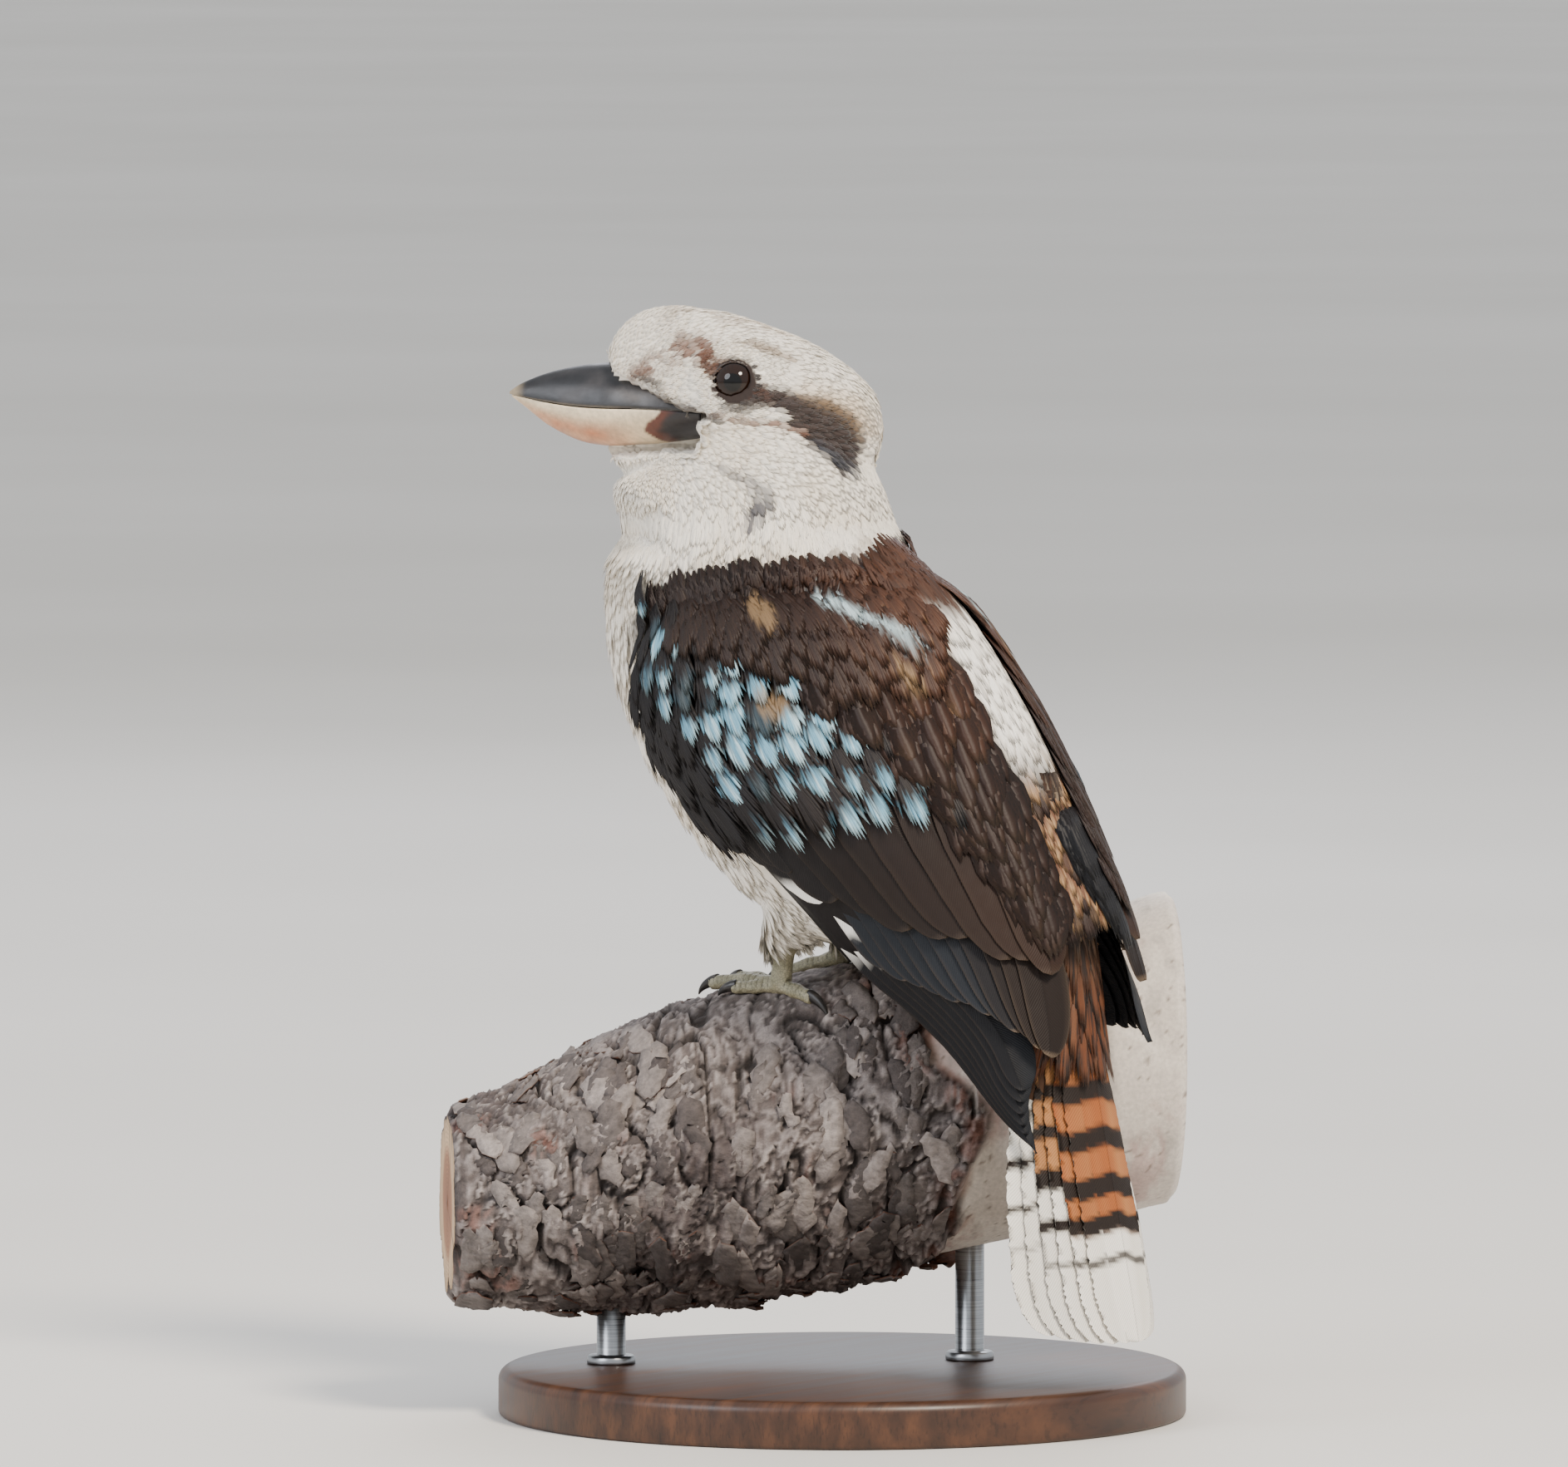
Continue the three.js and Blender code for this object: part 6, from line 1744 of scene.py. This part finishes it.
dimples = -1.0 * ease(grain(smooth_places * (1, 1, 1.4), 17, 82), 0.25, 0.9) + 0.10 * grit
relief = relief + rough * (rough_cut * depth + 1.0 * rim) + (1 - rough) * dimples
ends = np.maximum(ease(flat_along, FIRST_CUT + 2.5, FIRST_CUT), ease(flat_along, LAST_CUT - 2.5, LAST_CUT))
relief = relief - 2.4 * ends
limb_points = limb_places(flat_along, flat_angle, relief)

weather = grain(smooth_places, 30, 83)
# painted shade: the furrows, the cracks and the foot of each plate's ledge are darkened
deep = np.clip(0.95 * furrow_cut + 0.7 * crack_cut + 0.5 * ease(ledges, 0.14, 0.0), 0, 0.94)
bark_tint = blend(
    colour("#574e4b"),
    (colour("#8a817e"), ease(ledges + 0.5 * fine, 0.2, 1.0)),
    (colour("#443a39"), 0.75 * ease(weather, 0.0, 0.6)),
    # painted highlight on the raised upper edge of each plate
    (colour("#b3a9a3"), 0.55 * ease(ledges, 0.72, 1.0) * ease(grain(bent, 6, 84), -0.2, 0.5)),
    (colour("#6a3b2a"), 0.65 * ease(grain(smooth_places, 13, 85), 0.3, 0.75) * ease(fine, -0.4, 0.5)),
    (colour("#241c19"), deep),
    (colour("#6a3a26"), 0.6 * rim * ease(grain(smooth_places, 6, 86), -0.2, 0.5)))
beyond = flat_along - edge
bloom = grain(smooth_places * (1, 1, 0.6), 26, 88) + 0.3 * fine + 0.5 * ease(beyond, 26, 0)
limb_tint = blend(
    colour("#cdc3b8"),
    (colour("#e6dfd4"), ease(grain(smooth_places, 24, 87), -0.3, 0.6)),
    (colour("#a98680"), 0.6 * ease(bloom, 0.25, 0.7)),
    (colour("#9f9890"), 0.45 * ease(grain(spread_out, 3.4, 89), 0.35, 0.8)),
    (colour("#6b5c50"), 0.75 * ease(grain(smooth_places, 1.9, 90), 0.66, 0.8)),
    (colour("#7c4a35"), 0.7 * ease(beyond, 6, 0.5) * ease(grain(smooth_places, 9, 91), -0.2, 0.4)),
    (bark_tint, rough))

index = np.arange(rings * sides).reshape(rings, sides)
quads = hoops(index)


def bark_surface(tree, shader):
    """Gum bark: dry and matt, fibrous where rough, faintly waxy where it is new."""
    tint = node(tree, "ShaderNodeAttribute", attribute_name="tint")
    rough_of = node(tree, "ShaderNodeAttribute", attribute_name="rough")
    place = node(tree, "ShaderNodeTexCoord").outputs["Object"]
    turned = node(tree, "ShaderNodeMapping", {"Vector": place, "Rotation": (0, 0, -LIMB_TURN),
                                             "Scale": (90.0, 420.0, 420.0)})
    fibres = node(tree, "ShaderNodeTexNoise",
                  {"Vector": turned, "Scale": 1.0, "Detail": 5.0, "Roughness": 0.65})
    specks = node(tree, "ShaderNodeTexNoise", {"Vector": place, "Scale": 700.0, "Detail": 3.0})
    fibre_tone = node(tree, "ShaderNodeMapRange", {"Value": fibres, "From Min": 0.3, "From Max": 0.7,
                                                  "To Min": 0.55, "To Max": 1.35})
    speck_tone = node(tree, "ShaderNodeMapRange", {"Value": specks, "From Min": 0.3, "From Max": 0.7,
                                                  "To Min": 0.86, "To Max": 1.1})
    tone = node(tree, "ShaderNodeMix", {0: rough_of.outputs["Fac"], 2: speck_tone, 3: fibre_tone})
    shaded = node(tree, "ShaderNodeMix", {0: 1.0, 6: tint, 7: tone},
                  data_type="RGBA", blend_type="MULTIPLY")
    strength = node(tree, "ShaderNodeMapRange",
                    {"Value": rough_of.outputs["Fac"], "To Min": 0.12, "To Max": 0.8})
    bump = node(tree, "ShaderNodeBump", {"Height": fibres, "Strength": strength, "Distance": 0.0012})
    gloss = node(tree, "ShaderNodeMapRange",
                 {"Value": rough_of.outputs["Fac"], "To Min": 0.55, "To Max": 0.86})
    join(tree, shader, {"Base Color": shaded, "Normal": bump, "Roughness": gloss})


bark = finish("gum_bark", bark_surface)
faces = quads.tolist() + [index[0].tolist(), index[-1][::-1].tolist()]
limb_map = np.stack([flat_angle / (2 * math.pi), (flat_along - FIRST_CUT) / (LAST_CUT - FIRST_CUT)], -1)
limb_piece = piece("perch_limb", row(limb_points), faces, bark, colours={"tint": limb_tint},
                   floats={"rough": rough}, uvs={"OFBake": limb_map * 0.98 + 0.01})

# loose flakes: long curled strips of bark, held at one edge, that wander round the rough part
FLAKES, BEND_RADIUS = 430, 46.0
rng = np.random.default_rng(92)
flake_points, flake_faces, flake_tint, flake_map = [], [], [], []
run, breadth = np.meshgrid(np.linspace(0, 1, 10), np.linspace(-1, 1, 4), indexing="ij")
first, made_flakes = 0, 0
while made_flakes < FLAKES:
    a, b = rng.uniform(-115, 50), rng.uniform(0, 2 * math.pi)
    spot = limb_places(np.array([a]), np.array([b]))[0]
    local, is_rough, torn = bark_relief(np.array([a]), np.array([b]))
    if is_rough[0] < 0.9 or (spot[2] > -26 and math.hypot(abs(spot[0]) - FOOT_ASIDE, spot[1] + 2) < 36):
        continue
    at_edge = torn[0] - a < 12
    length = rng.uniform(8, 22) * (1.25 if at_edge else 1)
    width = length * rng.uniform(0.10, 0.2) + 0.8
    wander = np.cumsum(rng.normal(0, 0.9, 10)) * 0.65
    course = rng.normal(0, 0.45)
    rim_of = np.abs(breadth) > 0.9
    taper = np.sqrt(np.clip(1 - (2 * run - 1) ** 4, 0.03, 1)) * (1 + 0.3 * rng.random(run.shape) * rim_of)
    down_along = wander[:, None] + course * run * length * 0.5 + breadth * width * taper
    down_round = (run - 0.5) * length + 0.7 * rng.standard_normal(run.shape) * rim_of
    here, swing = np.clip(a + down_along, FIRST_CUT + 1.5, 60), b + down_round / BEND_RADIUS
    tip_up, side_up = rng.uniform(0.3, 1.6) * (1.8 if at_edge else 1), rng.uniform(-0.9, 1.4)
    lift = -0.5 + tip_up * run ** 3 + side_up * 0.5 * (breadth + 1) + 0.35 * (1 - breadth ** 2)
    lift = local[0] + lift + 0.22 * rng.standard_normal(run.shape)
    top = limb_places(here, swing, lift)
    low = limb_places(here, swing, lift - 0.6 - 0.5 * (1 - breadth ** 2))
    points, blocks = shell(top, low, run.shape)
    flake_points.append(points)
    flake_faces.extend(tuple(face) for block in blocks for face in (block + first).tolist())
    upper = blend(colour("#4b4341"), (colour("#9b918c"), rng.random() ** 1.5))
    # flakes on the limb's underside are darker: painted shade
    upper = upper * (0.8 if spot[2] < -70 else 1)
    inner = blend(colour("#4a2f23"), (colour("#7d5039"), rng.random()))
    shade = (0.78 + 0.3 * rng.random(run.shape)).ravel()[:, None]
    flake_tint.append(np.concatenate([upper * shade, inner * shade]))
    cell = np.array([made_flakes % 21, made_flakes // 21]) / 21
    flat = np.stack([run.ravel(), (breadth.ravel() + 1) / 2], -1) * 0.021
    flake_map.append(np.concatenate([flat, flat + (0.0235, 0)]) + cell)
    first += len(points)
    made_flakes += 1
flake_points = np.concatenate(flake_points)
flakes = piece("perch_flakes", row(flake_points), flake_faces, bark,
               colours={"tint": np.concatenate(flake_tint)},
               floats={"rough": np.full(len(flake_points), 0.9)}, uvs={"OFBake": np.concatenate(flake_map)})


def end_grain(tree, shader):
    """Sawn end of the limb: pale sapwood round reddish heartwood, with growth rings and drying cracks."""
    spot = node(tree, "ShaderNodeAttribute", attribute_name="sawn")
    parts = node(tree, "ShaderNodeSeparateXYZ", {0: spot.outputs["Vector"]})
    wander = node(tree, "ShaderNodeTexNoise",
                  {"Vector": spot.outputs["Vector"], "Scale": 2.2, "Detail": 3.0})
    away = node(tree, "ShaderNodeVectorMath", {0: spot.outputs["Vector"]}, operation="LENGTH")
    bent = node(tree, "ShaderNodeMath", {0: wander, 1: 0.16, 2: away}, operation="MULTIPLY_ADD")
    phase = node(tree, "ShaderNodeMath", {0: bent, 1: 120.0}, operation="MULTIPLY")
    ring = node(tree, "ShaderNodeMath", {0: phase}, operation="SINE")
    timber = node(tree, "ShaderNodeValToRGB", {0: bent},
                  stops=[(0.0, "#7d4d33"), (0.62, "#9a6b4b"), (0.78, "#c9a884"), (1.0, "#b89b7a")])
    dark = node(tree, "ShaderNodeMapRange",
                {"Value": ring, "From Min": -1.0, "To Min": 0.8, "To Max": 1.06})
    turn = node(tree, "ShaderNodeMath", {0: parts.outputs["Y"], 1: parts.outputs["X"]}, operation="ARCTAN2")
    ray = node(tree, "ShaderNodeTexNoise", {"W": turn, "Scale": 7.0, "Detail": 2.0}, noise_dimensions="1D")
    crack = node(tree, "ShaderNodeMapRange", {"Value": ray, "From Min": 0.66, "From Max": 0.70,
                                             "To Min": 1.0, "To Max": 0.35})
    tone = node(tree, "ShaderNodeMath", {0: dark, 1: crack}, operation="MULTIPLY")
    shaded = node(tree, "ShaderNodeMix", {0: 1.0, 6: timber, 7: tone},
                  data_type="RGBA", blend_type="MULTIPLY")
    bump = node(tree, "ShaderNodeBump", {"Height": tone, "Strength": 0.4, "Distance": 0.0004})
    join(tree, shader, {"Base Color": shaded, "Normal": bump, "Roughness": 0.7})


sawn_wood = finish("sawn_end_grain", end_grain)
outer_rings = limb_points.reshape(rings, sides, 3)
end_points, end_faces, sawn, first = [], [], [], 0
for ring, out in ((outer_rings[0], -1), (outer_rings[-1], 1)):
    middle = ring.mean(0)
    shares = np.linspace(0.02, 0.97, 9)[:, None, None]
    front = middle + (ring - middle)[None] * shares + out * LIMB_AXIS * 0.12
    back = front - out * LIMB_AXIS * 0.8
    n, m = front.shape[:2]
    order = np.arange(n * m).reshape(n, m)
    face = hoops(order)
    for block in (face, face[:, ::-1] + n * m):
        end_faces.extend((block + first).tolist())
    for line in (order[0], order[-1][::-1]):
        rim_quads = np.stack([line, np.roll(line, -1), np.roll(line, -1) + n * m, line + n * m], -1)
        end_faces.extend((rim_quads + first).tolist())
    end_faces.append((order[0][::-1] + first).tolist())
    end_faces.append((order[0] + n * m + first).tolist())
    end_points.append(np.concatenate([front.reshape(-1, 3), back.reshape(-1, 3)]))
    flat = (front - middle).reshape(-1, 3)
    size = np.linalg.norm(ring - middle, axis=1).mean()
    local = np.stack([flat @ LIMB_ACROSS, flat[:, 2], 0 * flat[:, 2]], -1) / size
    sawn.append(np.concatenate([local, local]))
    first += 2 * n * m
end_points, sawn = np.concatenate(end_points), np.concatenate(sawn)
half = len(sawn) // 4
shift = np.repeat([[0.25, 0.25], [0.75, 0.25], [0.25, 0.75], [0.75, 0.75]], half, axis=0)
limb_ends = piece("perch_sawn_ends", row(end_points), end_faces, sawn_wood, vectors={"sawn": sawn},
                  uvs={"OFBake": sawn[:, :2] * 0.22 + shift})
for made in (limb_piece, flakes, limb_ends):
    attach(made, "root")
    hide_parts("perch")


# Display stand
# A plain turned hardwood base, and two steel rods that rise through small collars into the limb.
BASE_TOP, BASE_BOTTOM, BASE_RADIUS, BASE_MIDDLE = -133.0, -149, 118, (4, 26)


def lathe(profile, middle, sides):
    """A closed turned body from (radius, height) stops."""
    angle = np.linspace(0, 2 * math.pi, sides, endpoint=False)
    profile = np.asarray(profile, float)
    points = np.stack([middle[0] + profile[:, :1] * np.cos(angle),
                       middle[1] + profile[:, :1] * np.sin(angle),
                       np.repeat(profile[:, 1:], sides, 1)], -1).reshape(-1, 3)
    index = np.arange(len(points)).reshape(len(profile), sides)
    quads = hoops(index)[:, [0, 3, 2, 1]]
    unrolled = np.stack(np.broadcast_arrays(angle[None] / 7 + 0.02,
                                            np.linspace(0.02, 0.98, len(profile))[:, None]), -1)
    return points, quads.tolist() + [index[0][::-1].tolist(), index[-1].tolist()], unrolled.reshape(-1, 2)


def base_surface(tree, shader):
    """Dark oiled hardwood: long grain across the board, satin."""
    place = node(tree, "ShaderNodeTexCoord").outputs["Object"]
    stretched = node(tree, "ShaderNodeMapping", {"Vector": place, "Rotation": (0, 0, 0.7),
                                                "Scale": (9.0, 150.0, 60.0)})
    grain_of = node(tree, "ShaderNodeTexNoise",
                    {"Vector": stretched, "Scale": 1.0, "Detail": 6.0, "Roughness": 0.6})
    pores = node(tree, "ShaderNodeMapping", {"Vector": place, "Rotation": (0, 0, 0.7),
                                            "Scale": (60.0, 1400.0, 300.0)})
    pores = node(tree, "ShaderNodeTexNoise", {"Vector": pores, "Scale": 1.0, "Detail": 2.0})
    wood = node(tree, "ShaderNodeValToRGB", {0: grain_of},
                stops=[(0.28, "#24140c"), (0.5, "#3d2415"), (0.72, "#56351f")])
    dark = node(tree, "ShaderNodeMapRange", {"Value": pores, "From Min": 0.35, "From Max": 0.45,
                                            "To Min": 0.7, "To Max": 1.0})
    shaded = node(tree, "ShaderNodeMix", {0: 1.0, 6: wood, 7: dark},
                  data_type="RGBA", blend_type="MULTIPLY")
    gloss = node(tree, "ShaderNodeMapRange", {"Value": grain_of, "To Min": 0.3, "To Max": 0.48})
    bump = node(tree, "ShaderNodeBump", {"Height": dark, "Strength": 0.15, "Distance": 0.0002})
    join(tree, shader, {"Base Color": shaded, "Roughness": gloss, "Normal": bump})


def rod_surface(tree, shader):
    """Ground steel bar, with fine lines round it."""
    place = node(tree, "ShaderNodeTexCoord").outputs["Object"]
    lined = node(tree, "ShaderNodeMapping", {"Vector": place, "Scale": (40.0, 40.0, 2600.0)})
    lines = node(tree, "ShaderNodeTexNoise", {"Vector": lined, "Scale": 1.0, "Detail": 2.0})
    steel = node(tree, "ShaderNodeValToRGB", {0: lines}, stops=[(0.3, "#8b8e91"), (0.7, "#b9bcbf")])
    gloss = node(tree, "ShaderNodeMapRange", {"Value": lines, "To Min": 0.22, "To Max": 0.4})
    join(tree, shader, {"Base Color": steel, "Roughness": gloss, "Metallic": 1.0})


bend = np.linspace(0, math.pi / 2, 9)
profile = [(2, BASE_BOTTOM), (112, BASE_BOTTOM), (BASE_RADIUS - 1.5, BASE_BOTTOM)]
profile += [(BASE_RADIUS - 1.5 * (1 - math.sin(t)), BASE_BOTTOM + 1.5 * (1 - math.cos(t))) for t in bend]
profile += [(BASE_RADIUS - 4 * (1 - math.cos(t)), BASE_TOP - 4 + 4 * math.sin(t)) for t in bend]
profile += [(110, BASE_TOP), (60, BASE_TOP), (2, BASE_TOP)]
points, faces, unrolled = lathe(profile, BASE_MIDDLE, 160)
base = piece("stand_base_board", row(points), faces, finish("oiled_hardwood", base_surface),
             uvs={"OFBake": unrolled})
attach(base, "root")
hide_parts("stand_base")
rod_steel = finish("ground_steel", rod_surface)
for node_name, along_limb in (("stand_rod_front", -62.0), ("stand_rod_back", 62.0)):
    spot = along_limb * LIMB_AXIS - 3 * LIMB_ACROSS
    top = limb_section(np.array([along_limb]))[1][0] + 16
    profile = [(1, BASE_TOP - 8), (5, BASE_TOP - 8), (5, BASE_TOP), (8.2, BASE_TOP), (8.4, BASE_TOP + 0.6),
               (8.2, BASE_TOP + 2.4), (7.6, BASE_TOP + 3), (5.2, BASE_TOP + 3.1), (5, BASE_TOP + 3.4),
               (5, top - 1), (4.2, top), (1, top)]
    points, faces, unrolled = lathe(profile, spot[:2], 48)
    rod = piece(node_name + "_bar", row(points), faces, rod_steel, uvs={"OFBake": unrolled})
    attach(rod, "root")
    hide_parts(node_name)
